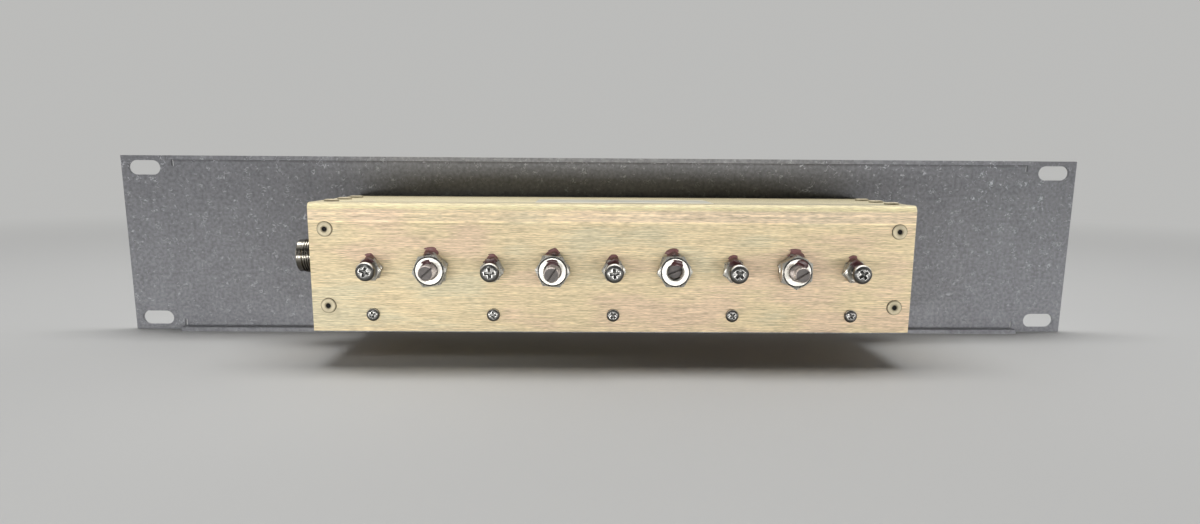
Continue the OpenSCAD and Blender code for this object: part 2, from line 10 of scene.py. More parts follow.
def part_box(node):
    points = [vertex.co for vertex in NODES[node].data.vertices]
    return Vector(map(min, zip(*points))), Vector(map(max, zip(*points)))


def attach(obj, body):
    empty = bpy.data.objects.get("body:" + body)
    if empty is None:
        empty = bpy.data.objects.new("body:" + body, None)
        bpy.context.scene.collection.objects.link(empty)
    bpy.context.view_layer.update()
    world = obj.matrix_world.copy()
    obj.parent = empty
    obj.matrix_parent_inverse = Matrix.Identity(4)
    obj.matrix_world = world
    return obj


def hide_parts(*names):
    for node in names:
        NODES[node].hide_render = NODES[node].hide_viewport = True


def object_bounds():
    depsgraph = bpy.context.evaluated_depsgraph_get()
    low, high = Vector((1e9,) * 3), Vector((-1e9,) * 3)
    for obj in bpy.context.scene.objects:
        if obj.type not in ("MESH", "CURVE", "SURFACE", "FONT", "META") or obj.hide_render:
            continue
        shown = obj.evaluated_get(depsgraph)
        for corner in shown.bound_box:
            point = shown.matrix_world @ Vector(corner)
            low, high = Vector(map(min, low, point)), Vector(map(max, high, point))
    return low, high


bl_info = {
    "name": "Preselector Filter Dresser",
    "version": (1, 0, 0),
    "blender": (4, 5, 0),
    "location": "3D View > Sidebar > Filter",
    "description": "Dresses the packed preselector filter: finishes, threads, screw heads, rivets, "
                   "varnish dabs, foil label and the stage",
    "category": "Object",
}

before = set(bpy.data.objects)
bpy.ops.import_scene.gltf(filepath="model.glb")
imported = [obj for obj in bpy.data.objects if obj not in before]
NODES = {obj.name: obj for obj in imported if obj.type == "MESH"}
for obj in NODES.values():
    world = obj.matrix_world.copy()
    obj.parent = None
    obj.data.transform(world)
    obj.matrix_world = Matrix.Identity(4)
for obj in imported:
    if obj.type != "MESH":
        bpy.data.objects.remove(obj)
CAD_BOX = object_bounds()
MM = 0.001
X, Y, Z = range(3)

# Axes of a local frame whose +Z points away from each side of the filter
FACING = {
    "wall": np.array([[1, 0, 0], [0, 0, 1], [0, -1, 0]], float),
    "panel": np.array([[1, 0, 0], [0, 0, -1], [0, 1, 0]], float),
    "top": np.eye(3),
    "under": np.array([[1, 0, 0], [0, -1, 0], [0, 0, -1]], float),
    "left": np.array([[0, 0, 1], [0, 1, 0], [-1, 0, 0]], float),
    "right": np.array([[0, 0, -1], [0, 1, 0], [1, 0, 0]], float),
}


def span(node):
    """Lowest and highest corner of a CAD node, in millimetres."""
    low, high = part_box(node)
    return np.array(low) / MM, np.array(high) / MM


def centre(node):
    """Middle of a CAD node's box, in millimetres."""
    return sum(span(node)) / 2


def row(node, axis, count, inset):
    """Even places along one axis of a node's box, the outer ones inset from its ends."""
    low, high = span(node)
    return np.linspace(low[axis] + inset, high[axis] - inset, count)


SHELL_LOW, SHELL_HIGH = span("housing_shell")
WALL_Y = SHELL_LOW[Y]
TUNING = ["tuning_screw_%d" % i for i in range(1, 6)]
COUPLING = ["coupling_screw_%d" % i for i in range(1, 5)]
# The panel's folded edges end at slits, 26 mm from its ends
FOLD_END = CAD_BOX[1].x - 0.026

# Sizes in millimetres that the nodes' boxes don't give: a shank is its radius, a head its height,
# a hexagon half its width over flats, and a jack's depth is what stands behind its flange
RIVET_RADIUS = 3.2
COVER_SHANK, COVER_LENGTH, COVER_HEAD = 1.42, 6.4, 1.7
PANEL_THREAD, PANEL_LENGTH = 4.17, 12.7
TUNING_SHANK, TUNING_HEAD = 2.085, 2.7
COUPLING_RADIUS, COUPLING_TIP = 3.175, 1.7
TUNING_HEXAGON, COUPLING_HEXAGON = 4.365, 6.35
JACK_DEPTH = 2.8
LABEL_Y = -57.5


# Surfaces

def grid_faces(rows, columns, wrap):
    """Quads between neighbouring points of a grid; wrap joins the last row to the first."""
    a, b = np.meshgrid(np.arange(rows if wrap else rows - 1), np.arange(columns - 1), indexing="ij")
    c = (a + 1) % rows
    return np.stack([a * columns + b, c * columns + b, c * columns + b + 1, a * columns + b + 1],
                    -1).reshape(-1, 4)


def turned(r, z, sides):
    """Surface of revolution: at angle t a profile point (r, z) lies at (r cos t, r sin t, z).

    r and z run from the foot outwards and up, and may change with the angle."""
    t = np.arange(sides)[:, None] * 2 * np.pi / sides
    r, z = np.broadcast_arrays(np.atleast_2d(r), np.atleast_2d(z))
    r, z = np.broadcast_to(r, (sides, r.shape[1])), np.broadcast_to(z, (sides, z.shape[1]))
    points = np.stack([r * np.cos(t), r * np.sin(t), z], -1)
    return points.reshape(-1, 3), grid_faces(sides, r.shape[1], True)


def thread(radius, pitch, depth, low, high, sides, bore=0.0):
    """Screw thread: a trapezium of crest and root carried along a helix, z = pitch (turns).

    Each end is chamfered down to the root and closed by a flat disc, less the bore."""
    turns = int(math.ceil((high - low) / pitch)) + 2
    rows = 4 * turns
    j, i = np.meshgrid(np.arange(rows), np.arange(sides))
    z = np.clip(low + pitch * (j / 4 + i / sides - 1), low, high)
    root = radius - depth
    r = np.where(np.isin(j % 4, (0, 1)), radius, root)
    r = np.minimum(r, root + np.minimum(z - low, high - z))
    t = i * 2 * np.pi / sides
    points = np.stack([r * np.cos(t), r * np.sin(t), z], -1).reshape(-1, 3)
    a, b = np.meshgrid(np.arange(sides), np.arange(rows - 5), indexing="ij")
    shift = np.where(a == sides - 1, 4, 0)
    c = (a + 1) % sides
    faces = np.stack([a * rows + b, c * rows + b + shift, c * rows + b + 1 + shift,
                      a * rows + b + 1], -1).reshape(-1, 4)
    return joined([(points, faces), turned([bore, root], [low, low], sides),
                   turned([root, bore], [high, high], sides)])


def rounded_outline(w, h, corner):
    """Rounded rectangle, anticlockwise: four quarter circles about the inset corners."""
    t = np.linspace(0, np.pi / 2, 8)
    turns = np.array([0, 1, 2, 3])[:, None] * np.pi / 2 + t[None, :]
    cx = (w / 2 - corner) * np.array([1, -1, -1, 1])[:, None]
    cy = (h / 2 - corner) * np.array([1, 1, -1, -1])[:, None]
    return np.stack([cx + corner * np.cos(turns), cy + corner * np.sin(turns)], -1).reshape(-1, 2)


def plate(w, h, corner, high, bevel, bore=0.0):
    """Flat plate from z = 0: rounded outlines stacked from the foot's bore, or its middle, out and
    up to the top's. The bore is a circle, radius times (cos t, sin t)."""
    inner = rounded_outline(w - 2 * bevel, h - 2 * bevel, max(corner - bevel, 0.05))
    outer = rounded_outline(w, h, corner)
    t = (np.arange(len(inner)) + 0.5) * 2 * np.pi / len(inner)
    hole = bore * np.stack([np.cos(t), np.sin(t)], -1)
    levels = [(hole, 0), (inner, 0), (outer, bevel), (outer, high - bevel), (inner, high),
              (hole, high)]
    points = np.stack([np.column_stack([o, np.full(len(o), z)]) for o, z in levels], 1)
    return points.reshape(-1, 3), grid_faces(len(inner), len(levels), True)


def joined(shells):
    """Several surfaces as one, the face numbers shifted past the points before them.

    A surface may bring how dark each point is painted, for dirt and painted shade, up to 1, or how
    bright, for wear and painted highlight, down to -1."""
    starts = np.cumsum([0] + [len(shell[0]) for shell in shells[:-1]])
    dirt_and_painted_light = [shell[2] if len(shell) > 2 else np.zeros(len(shell[0])) for shell in shells]
    return (np.concatenate([shell[0] for shell in shells]),
            np.concatenate([shell[1] + start for shell, start in zip(shells, starts)]),
            np.concatenate(dirt_and_painted_light))


def placed(shell, facing, origin):
    """The surface turned to face that way and moved to origin."""
    return (shell[0] @ FACING[facing] + np.asarray(origin, float), *shell[1:])


def with_dirt_and_painted_light(shell, where):
    """The surface with its dark and bright marks, dirt, wear and painted light, one value for each
    point of the grid.
    """
    return shell[0], shell[1], np.broadcast_to(where, (len(shell[0]),)).astype(float)


def piece(name, shells, material, replaces=()):
    """A finished piece: the surfaces as one mesh with merged seams, smooth up to 32 degrees."""
    points, faces, dirt_and_painted_light = joined(shells)
    mesh = bpy.data.meshes.new(name)
    mesh.from_pydata((points * MM).tolist(), [], faces.tolist())
    mesh.attributes.new("dirt_and_painted_light", "FLOAT", "POINT").data.foreach_set("value", dirt_and_painted_light)
    work = bmesh.new()
    work.from_mesh(mesh)
    bmesh.ops.remove_doubles(work, verts=work.verts, dist=2e-7)
    bmesh.ops.dissolve_degenerate(work, edges=work.edges, dist=1e-7)
    work.to_mesh(mesh)
    work.free()
    mesh.polygons.foreach_set("use_smooth", np.ones(len(mesh.polygons), bool))
    mesh.set_sharp_from_angle(angle=math.radians(32))
    mesh.materials.append(material)
    obj = bpy.data.objects.new(name, mesh)
    bpy.context.scene.collection.objects.link(obj)
    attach(obj, "root")
    if replaces:
        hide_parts(*replaces)


def finish(material, *nodes):
    """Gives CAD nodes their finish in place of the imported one."""
    for node in nodes:
        mesh = NODES[node].data
        mesh.materials.clear()
        mesh.materials.append(material)


# Finishes

class Nodes:
    """Short ways to add and join the nodes of one tree."""

    def __init__(self, tree):
        self.tree = tree
        self.coordinates = self.add("ShaderNodeTexCoord")

    def add(self, kind, **values):
        node = self.tree.nodes.new(kind)
        for key, value in values.items():
            setattr(node, key, value)
        return node

    def join(self, source, target):
        self.tree.links.new(source, target)

    def fill(self, node, values):
        """Joins the node's sockets to other nodes', or sets them to a number or a colour."""
        for key, value in values.items():
            if hasattr(value, "is_linked"):
                self.join(value, node.inputs[key])
            else:
                number = isinstance(value, float)
                node.inputs[key].default_value = value if number else (*value, 1.0)

    def axis(self, name, kind="Object"):
        """One part of a coordinate: X, Y or Z."""
        node = self.add("ShaderNodeSeparateXYZ")
        self.join(self.coordinates.outputs[kind], node.inputs["Vector"])
        return node.outputs[name]

    def noise(self, scale, detail=2.0, roughness=0.5, distortion=0.0):
        """Noise with that many features a metre, or with a number for each axis."""
        stretch = self.add("ShaderNodeMapping")
        stretch.inputs["Scale"].default_value = (scale,) * 3 if isinstance(scale, float) else scale
        self.join(self.coordinates.outputs["Object"], stretch.inputs["Vector"])
        node = self.add("ShaderNodeTexNoise")
        self.fill(node, {"Vector": stretch.outputs["Vector"], "Scale": 1.0, "Detail": detail,
                         "Roughness": roughness, "Distortion": distortion})
        return node.outputs["Fac"]

    def remap(self, value, low, high, to_low=0.0, to_high=1.0, kind="LINEAR"):
        """Carries low to to_low and high to to_high, and holds those beyond."""
        node = self.add("ShaderNodeMapRange", interpolation_type=kind)
        self.fill(node, {"Value": value, "From Min": low, "From Max": high, "To Min": to_low,
                         "To Max": to_high})
        return node.outputs["Result"]

    def ease(self, *limits):
        """Like remap, with a soft start and end."""
        return self.remap(*limits, kind="SMOOTHSTEP")

    def drift(self, noise, low=0.0, high=1.0):
        """Noise, most of which lies from 0.3 to 0.7, carried to low and high."""
        return self.remap(noise, 0.3, 0.7, low, high)

    def math(self, operation, a, b=0.0):
        node = self.add("ShaderNodeMath", operation=operation)
        self.fill(node, {0: a, 1: b})
        return node.outputs["Value"]

    def times(self, first, *others):
        for other in others:
            first = self.math("MULTIPLY", first, other)
        return first

    def plus(self, first, *others):
        for other in others:
            first = self.math("ADD", first, other)
        return first

    def away(self, value, middle):
        """How far a value lies from middle, to either side."""
        return self.math("ABSOLUTE", self.math("SUBTRACT", value, middle))

    def mix(self, factor, a, b, blend="MIX"):
        node = self.add("ShaderNodeMix", data_type="RGBA", blend_type=blend)
        self.fill(node, {"Factor": factor, 6: a, 7: b})
        return node.outputs[2]

    def grey(self, value):
        """A number as a grey colour."""
        node = self.add("ShaderNodeCombineColor")
        self.fill(node, dict.fromkeys(("Red", "Green", "Blue"), value))
        return node.outputs["Color"]

    def shaded(self, colour, shade):
        """The colour times a number."""
        return self.mix(1.0, colour, self.grey(shade), "MULTIPLY")

    def blend(self, factor, first, second):
        """One shader giving way to another."""
        node = self.add("ShaderNodeMixShader")
        self.fill(node, {0: factor, 1: first, 2: second})
        return node.outputs[0]


class Finish(Nodes):
    """A new procedural material, with the plain values of its shader's sockets."""

    def __init__(self, name, **sockets):
        self.material = bpy.data.materials.new(name)
        self.material.use_nodes = True
        super().__init__(self.material.node_tree)
        self.shader = self.tree.nodes["Principled BSDF"]
        for key, value in sockets.items():
            self.shader.inputs[key.replace("_", " ")].default_value = value

    def dirt_and_painted_light(self):
        """How dark the mesh paints each point, for dirt and painted shade, or below 0 how bright,
        for wear and painted highlight; 0 on a CAD node.
        """
        return self.add("ShaderNodeAttribute", attribute_name="dirt_and_painted_light").outputs["Fac"]

    def done(self, height, distance, strength, **sockets):
        """The material, with a bump as high as height times distance, and those sockets joined."""
        node = self.add("ShaderNodeBump")
        self.fill(node, {"Height": height, "Distance": distance, "Strength": strength})
        self.fill(self.shader, {key.replace("_", " "): value for key, value in sockets.items()})
        self.join(node.outputs["Normal"], self.shader.inputs["Normal"])
        return self.material


def brushed_chromate(name, colours, along, banded):
    """Yellow chromate over sheet brushed along one axis: fine long lines over drifting gold, pink
    and green. The folded sheet is banded."""
    f = Finish(name, Metallic=0.25, Roughness=0.5)

    def brushed(lengthwise, across, detail):
        return f.noise([lengthwise if a == along else across for a in "xyz"], detail)

    grain = f.plus(f.times(brushed(320.0, 4800.0, 1.0), 0.6),
                   f.times(brushed(110.0, 6200.0, 0.0), 0.4))
    patch = f.noise((30.0, 60.0, 70.0), 1.0)
    cloud = f.noise((9.0, 22.0, 26.0))
    greenest = -0.046
    hue = f.plus(f.times(patch, 0.42), f.times(cloud, 0.45),
                 f.times(brushed(120.0, 3000.0, 1.0), 0.13),
                 f.ease(f.away(f.axis("X"), greenest), 0.0, 0.060, 0.072, -0.008))
    base = f.mix(f.ease(hue, 0.505, 0.60), colours.gold, colours.green)
    base = f.mix(f.ease(hue, 0.495, 0.40), base, colours.pink)
    shade = f.plus(f.remap(grain, 0.34, 0.66, 1.0 - colours.grain, 1.0 + colours.grain),
                   f.remap(cloud, 0.35, 0.65, -0.035, 0.035))
    if banded:
        base, shade = bands(f, colours, base, shade, patch, cloud)
    return f.done(grain, 0.00003, 0.4, Base_Color=f.shaded(base, shade),
                  Roughness=f.drift(grain, 0.58, 0.46))


def bands(f, colours, base, shade, patch, cloud):
    """The folded sheet's bands, by how deep they lie below its top: a painted shade along the front
    edge of the flat top, whose colour is painted lighter, a painted yellow highlight over the bend,
    and a lilac strip with a row of bright nicks that ends in a broken bright line. The top and the
    strip are darker towards the right end."""
    wander = f.times(f.plus(patch, -0.5), 0.0006)
    depth = f.math("SUBTRACT", SHELL_HIGH[Z] * MM, f.plus(f.axis("Z"), wander))
    back = f.plus(f.axis("Y"), -WALL_Y * MM)
    front = f.ease(back, 0.0030, 0.0022)

    def rightwards(left, right):
        return f.ease(f.axis("X"), 0.0, 0.06, left, right)

    # Where each band is and how softly it ends: depth below the top and distance behind the wall
    flat = f.times(f.ease(depth, 0.0014, 0.0006), f.remap(back, 0.002, 0.004))
    edge = f.times(f.ease(back, 0.020, 0.008), f.ease(depth, 0.0013, 0.0004))
    bend = f.times(front, f.ease(depth, 0.0032, 0.0021))
    belt_highlight = f.times(front, f.ease(depth, 0.0006, 0.0014), f.ease(depth, 0.0027, 0.0016))
    strip = f.times(front, f.ease(depth, 0.0020, 0.0030), f.ease(depth, 0.0078, 0.0073))
    # The lilac strip and its lines are the coat's own colour; the bend's yellow and the belt's
    # extra brightness are a painted highlight, the top's lighter colour is a painted highlight, and
    # edge is a painted shade
    base = f.mix(f.times(strip, f.ease(cloud, 0.38, 0.60, 0.35, 1.0), 0.75), base, colours.lilac)
    base = f.mix(f.times(bend, 0.9), base, colours.bend)
    base = f.mix(f.times(flat, 0.9), base, colours.crown_lit)
    shade = f.plus(shade, f.times(belt_highlight, rightwards(0.24, 0.16)), f.times(edge, -0.20),
                   f.times(strip, rightwards(0.0, -0.12)), f.times(flat, rightwards(-0.03, -0.24)))
    nicks = f.remap(f.noise((280.0, 700.0, 700.0), 0.0), 0.34, 0.58)
    broken = f.remap(f.noise(150.0, 1.0), 0.32, 0.50)
    for place, width, gate, gain in ((0.0045, 0.0008, nicks, 0.30), (0.0077, 0.0007, broken, 0.42),
                                     (0.0056, 0.0008, broken, -0.05)):
        line = f.ease(f.away(depth, place), 0.0, width, 1.0, 0.0)
        shade = f.plus(shade, f.times(front, line, gate, gain))
    return base, shade


def hammer_paint(colours):
    """Textured grey paint: small pebbles, with bright flecks painted where their ridges catch the
    light, painted highlights.

    Painted shade darkens it a little towards the panel's top, where the folded edge has a painted
    highlight above a painted shadow line."""
    f = Finish("hammer_paint", Roughness=0.45)
    y, z, aside = f.axis("Y"), f.axis("Z"), f.math("ABSOLUTE", f.axis("X"))
    pebbles = f.noise(620.0, roughness=0.55)
    ridge = f.away(f.noise((330.0, 330.0, 420.0), 1.0, distortion=1.0), 0.5)
    fleck_highlight = f.times(f.ease(ridge, 0.0, 0.035, 1.0, 0.0), f.ease(f.noise(260.0), 0.52, 0.62),
                    f.remap(f.noise(16.0), 0.35, 0.65, 0.45, 1.0))
    shade = f.plus(f.drift(f.noise(90.0, 3.0, 0.6), 0.92, 1.08),
                   f.remap(pebbles, 0.35, 0.65, -0.16, 0.16))
    # A painted highlight on the folded edge's tip over a painted shadow line below the fold, and
    # painted shade towards the top
    upper = f.times(f.ease(z, 0.0406, 0.0414), f.remap(aside, FOLD_END + 0.001, FOLD_END))
    tip = f.times(f.remap(y, -0.0055, -0.0065), f.remap(aside, 0.20, 0.03, 0.14, 0.34))
    corner = f.remap(y, -0.0040, -0.0010, 0.0, -0.30)
    shade = f.times(shade, f.remap(z, -0.040, 0.040, 1.11, 0.77),
                    f.plus(f.times(upper, f.plus(tip, corner)), 1.0))
    return f.done(f.plus(pebbles, f.times(fleck_highlight, 0.5)), 0.00016, 0.7,
                  Base_Color=f.mix(fleck_highlight, f.shaded(colours.paint, shade), colours.fleck_highlight),
                  Roughness=f.remap(pebbles, 0.35, 0.65, 0.68, 0.54))


def scaled(colour, share):
    return tuple(share * c for c in colour)


def plated_metal(name, colour, low, high, metallic=1.0, fine=900.0, under=0.0, wear_and_sheen=None, satin=0.0,
                 ring=None):
    """Plated metal: its roughness, from low to high, and its colour drift with faint marks.

    under is how much painted shade darkens the sides that face down, and roughens the ends that
    face along Y; satin is how far the chamfers behind those ends have lost their shine, and their
    colour is then painted lighter, a painted highlight; ring gives the first axis, the spacing and
    the radius of a dark line painted on those chamfers, a painted shade. The last colour is bright
    metal, put where the mesh's attribute is below 0, for wear and painted highlights."""
    f = Finish(name, Metallic=metallic, Roughness=low)
    marks, dirt_and_painted_light = f.noise(fine, 3.0, 0.6), f.dirt_and_painted_light()
    base = f.mix(f.ease(f.noise(160.0), 0.42, 0.72, 0.0, 0.8), colour, scaled(colour, 0.72))
    rough = f.plus(f.drift(marks, low, high), f.times(f.math("ABSOLUTE", dirt_and_painted_light), 0.25))
    # Painted shade: the sides that face down turn to a dark copy of the colour
    if under:
        facing = f.math("ABSOLUTE", f.axis("Y", "Normal"))
        down = f.ease(f.axis("Z", "Normal"), -0.08, -0.40, 0.0, under)
        # The chamfers are less metallic, and their colour is painted lighter, a painted highlight
        if satin:
            slope = f.times(f.ease(facing, 0.3, 0.6), f.ease(facing, 0.97, 0.92))
            down = f.times(down, f.remap(slope, 0.0, 1.0, 1.0, 0.3))
            f.fill(f.shader, {"Metallic": f.remap(slope, 0.0, 1.0, metallic, 1.0 - satin)})
            base = f.mix(f.times(slope, 0.8), base, scaled(colour, 1.25))
        base = f.mix(down, base, scaled(colour, 0.14))
        rough = f.plus(rough, f.ease(facing, 0.90, 0.98, 0.0, 0.07))
    # Painted shade: a dark line on the chamfers round the coupling lock nuts' ends
    if ring:
        x, z, spacing, radius = ring
        beside = f.math("PINGPONG", f.plus(f.axis("X"), -x), spacing / 2)
        above = f.plus(f.axis("Z"), -z)
        reach = f.math("SQRT", f.plus(f.times(beside, beside), f.times(above, above)))
        line = f.remap(f.away(reach, radius), 0.00016, 0.00040, 0.95, 0.0)
        base = f.mix(f.times(line, f.remap(facing, 0.3, 0.6)), base, (0.03, 0.028, 0.025))
    # Below 0 the attribute bares bright metal, for wear and painted highlights; above 0 it darkens,
    # for dirt and painted shade
    if wear_and_sheen:
        base = f.mix(f.remap(dirt_and_painted_light, 0.0, -1.0), base, wear_and_sheen)
    base = f.mix(f.remap(dirt_and_painted_light, 0.0, 1.0), base, (0.012, 0.011, 0.010))
    return f.done(marks, 0.00002, 0.4, Base_Color=base, Roughness=rough)


def rod_metal(colour):
    """Browned bright rod whose flat ends, which face along Y, are dull and dark from the cut."""
    f = Finish("browned_rod", Metallic=0.8, Roughness=0.3)
    marks = f.noise(700.0, 3.0, 0.6)
    end = f.ease(f.axis("Y", "Normal"), -0.85, -0.97)
    side = f.mix(f.ease(f.noise((300.0, 1400.0, 300.0)), 0.40, 0.62), colour, scaled(colour, 0.75))
    face = f.mix(f.drift(marks), (0.10, 0.088, 0.082), (0.16, 0.14, 0.13))
    # The mesh's attribute darkens the driver slots and one end's outer edge, painted shade
    return f.done(marks, 0.00002, 0.4, Metallic=f.remap(end, 0.0, 1.0, 0.85, 0.15),
                  Base_Color=f.mix(f.dirt_and_painted_light(), f.mix(end, side, face), (0.02, 0.017, 0.015)),
                  Roughness=f.plus(f.drift(marks, 0.22, 0.34), f.times(end, 0.25)))


def lock_varnish(colours):
    """Dark red sealing varnish: thin and mauve on the wall, deep and glossy on the nuts."""
    f = Finish("lock_varnish", Roughness=0.34, Coat_Weight=0.12, Coat_Roughness=0.12)
    run = f.noise(500.0)
    y = f.plus(f.axis("Y"), f.times(f.plus(run, -0.5), 0.0012))
    deep = f.ease(y, (WALL_Y - 0.5) * MM, (WALL_Y - 2.6) * MM)
    return f.done(run, 0.0001, 0.5, Base_Color=f.mix(deep, colours.thin, colours.deep))


def foil(colours):
    """Bare satin foil with a darker strip along its middle."""
    f = Finish("foil", Metallic=0.4, Roughness=0.45)
    dull = f.noise((120.0, 500.0, 500.0), 3.0)
    strip = f.ease(f.away(f.axis("Y"), LABEL_Y * MM), 0.006, 0.009, 1.0, 0.0)
    base = f.mix(f.times(strip, 0.55), colours.label, colours.strip)
    return f.done(dull, 0.00002, 0.3, Roughness=f.drift(dull, 0.34, 0.5),
                  Base_Color=f.shaded(base, f.drift(dull, 0.84, 1.12)))


def fluoroplastic():
    """Matt white plastic of the insulators, a little clouded."""
    f = Finish("fluoroplastic", Roughness=0.45, Subsurface_Weight=0.1)
    fog = f.noise(400.0)
    white = f.mix(f.drift(fog), (0.86, 0.85, 0.82), (0.80, 0.79, 0.75))
    return f.done(fog, 0.00003, 0.4, Base_Color=white)


# Settings

def tone(name, text, default):
    return FloatVectorProperty(name=name, description=text, default=default, size=3, min=0.0,
                               max=1.0, subtype="COLOR")


def length(name, text, default, low, high):
    return FloatProperty(name=name, description=text + ", in millimetres", default=default,
                         min=low, max=high)


def fraction(name, text, default, low, high):
    return FloatProperty(name=name, description=text, default=default, min=low, max=high,
                         subtype="FACTOR")


def tilt(name, text, degrees):
    return FloatProperty(name=name, description=text, default=math.radians(degrees),
                         subtype="ANGLE")


def watts(name, text, default):
    return FloatProperty(name=name, description="Power of the light " + text, default=default,
                         min=0.0, max=100.0, unit="POWER")


class SheetSettings(bpy.types.PropertyGroup):
    gold: tone("Gold", "Main colour of the chromate", (0.69, 0.565, 0.35))
    pink: tone("Pink", "Colour where the chromate turns pink", (0.70, 0.535, 0.365))
    green: tone("Green", "Colour where the chromate turns green", (0.62, 0.545, 0.36))
    lilac: tone("Lilac", "Colour of the strip near the upper edge", (0.78, 0.62, 0.44))
    # The bend's colour is a painted highlight over the bend, and the upper side's colour is painted
    # lighter, a painted highlight
    bend: tone("Bend", "Colour over the bend", (0.88, 0.77, 0.475))
    crown_lit: tone("Crown", "Colour of the upper side", (0.87, 0.77, 0.495))
    grain: fraction("Grain", "Contrast of the brushed grain", 0.33, 0.0, 0.5)


class PaintSettings(bpy.types.PropertyGroup):
    paint: tone("Paint", "Colour of the rack panel", (0.282, 0.285, 0.304))
    # The flecks' colour is a painted highlight on the pebbles' ridges
    fleck_highlight: tone("Fleck", "Colour of the bright flecks", (0.62, 0.63, 0.67))


class HardwareSettings(bpy.types.PropertyGroup):
    nickel: tone("Nickel", "Colour of the hexagons", (0.50, 0.485, 0.44))
    jack: tone("Jack", "Colour of the jacks' aged nickel", (0.36, 0.335, 0.29))
    steel: tone("Steel", "Colour of the screws", (0.33, 0.325, 0.31))
    # The bright metal of the painted highlights on the cross recesses' lips and the heads' upper
    # crests
    wear_and_sheen: tone("Worn", "Metal bared around the cross recesses", (0.66, 0.64, 0.60))
    rod: tone("Rod", "Colour of the coupling screws", (0.86, 0.76, 0.70))
    rivet: tone("Rivet", "Colour of the rivets", (0.62, 0.54, 0.37))
    fine_pitch: length("Fine pitch", "Pitch of the adjusters' threads", 0.794, 0.5, 1.2)
    jack_pitch: length("Jack pitch", "Pitch of the jacks' threads", 1.058, 0.8, 1.5)
    recess: fraction("Recess", "Depth of a cross recess as a share of its head", 0.50, 0.3, 1.0)


class VarnishSettings(bpy.types.PropertyGroup):
    thin: tone("Thin", "Colour of the varnish on the wall", (0.26, 0.125, 0.118))
    deep: tone("Deep", "Colour of the varnish on the nuts", (0.070, 0.017, 0.017))
    reach: length("Reach", "How far a dab runs up the wall", 1.9, 0.5, 4.0)


class LabelSettings(bpy.types.PropertyGroup):
    label: tone("Foil", "Colour of the foil", (0.83, 0.78, 0.62))
    strip: tone("Strip", "Colour of its darker strip", (0.42, 0.43, 0.40))
    width: length("Width", "Width of the label", 76.0, 20.0, 120.0)
    depth: length("Depth", "Depth of the label", 38.0, 10.0, 60.0)
    offset: length("Offset", "Place of the label along the housing", 4.7, -60.0, 60.0)


class StageSettings(bpy.types.PropertyGroup):
    lens: FloatProperty(name="Lens", description="Focal length on a 36 mm sensor", default=26.01,
                        min=10.0, max=200.0, subtype="DISTANCE_CAMERA")
    shift: FloatProperty(name="Shift", description="Vertical shift that frames the filter",
                         default=0.0655, min=-0.5, max=0.5)
    place: FloatVectorProperty(name="Place", description="Where the camera stands", size=3,
                               default=(-0.0094, -0.4466, 0.0408), subtype="TRANSLATION",
                               unit="LENGTH")
    pitch: tilt("Pitch", "Downward tilt of the camera", 11.453)
    yaw: tilt("Yaw", "Turn of the camera about the vertical", -1.062)
    roll: tilt("Roll", "Turn of the camera about its own axis", 0.394)
    key: watts("Key", "low in front", 0.72)
    glare: watts("Glare", "close to the floor", 0.56)
    side: watts("Side", "on the panel's right", 0.052)
    corner: watts("Corner", "on the right end of the housing", 0.0025)
    upper: watts("Upper", "high on the left", 0.008)
    top: watts("Top", "overhead", 10.0)
    floor: tone("Floor", "Colour of the floor", (0.60, 0.60, 0.59))
    wall: tone("Wall", "Colour of the wall behind", (0.50, 0.50, 0.49))


class FilterSettings(bpy.types.PropertyGroup):
    sheet: PointerProperty(type=SheetSettings)
    paint: PointerProperty(type=PaintSettings)
    hardware: PointerProperty(type=HardwareSettings)
    varnish: PointerProperty(type=VarnishSettings)
    label: PointerProperty(type=LabelSettings)
    stage: PointerProperty(type=StageSettings)


def settings():
    return bpy.context.scene.preselector


# Metals that several operators share

def shared(name):
    """One of the plated metals, made once."""
    s = settings().hardware
    first, last = centre(COUPLING[0]) * MM, centre(COUPLING[-1]) * MM
    # ring places a dark line painted on the coupling lock nuts' chamfers, and under darkens the
    # sides that face down; both are painted shade
    ring = (first[X], first[Z], (last[X] - first[X]) / 3, 0.00582)
    recipes = {
        "nickel_plate": (s.nickel, 0.24, 0.34, {"under": 0.9, "satin": 0.3}),
        "lined_nickel": (s.nickel, 0.24, 0.34, {"under": 0.9, "satin": 0.3, "ring": ring}),
        "aged_nickel": (s.jack, 0.12, 0.22, {"under": 0.75}),
        "dull_steel": (s.steel, 0.16, 0.27, {"wear_and_sheen": tuple(s.wear_and_sheen)}),
        "zinc_plate": ((0.62, 0.61, 0.58), 0.18, 0.32, {}),
        "silver_plate": ((0.86, 0.85, 0.81), 0.14, 0.28, {}),
        "gold_plate": ((0.86, 0.64, 0.28), 0.14, 0.24, {}),
        "bare_copper": ((0.76, 0.42, 0.28), 0.25, 0.40, {}),
    }
    colour, low, high, more = recipes[name]
    found = bpy.data.materials.get(name)
    return found or plated_metal(name, tuple(colour), low, high, **more)


# Shapes of single pieces

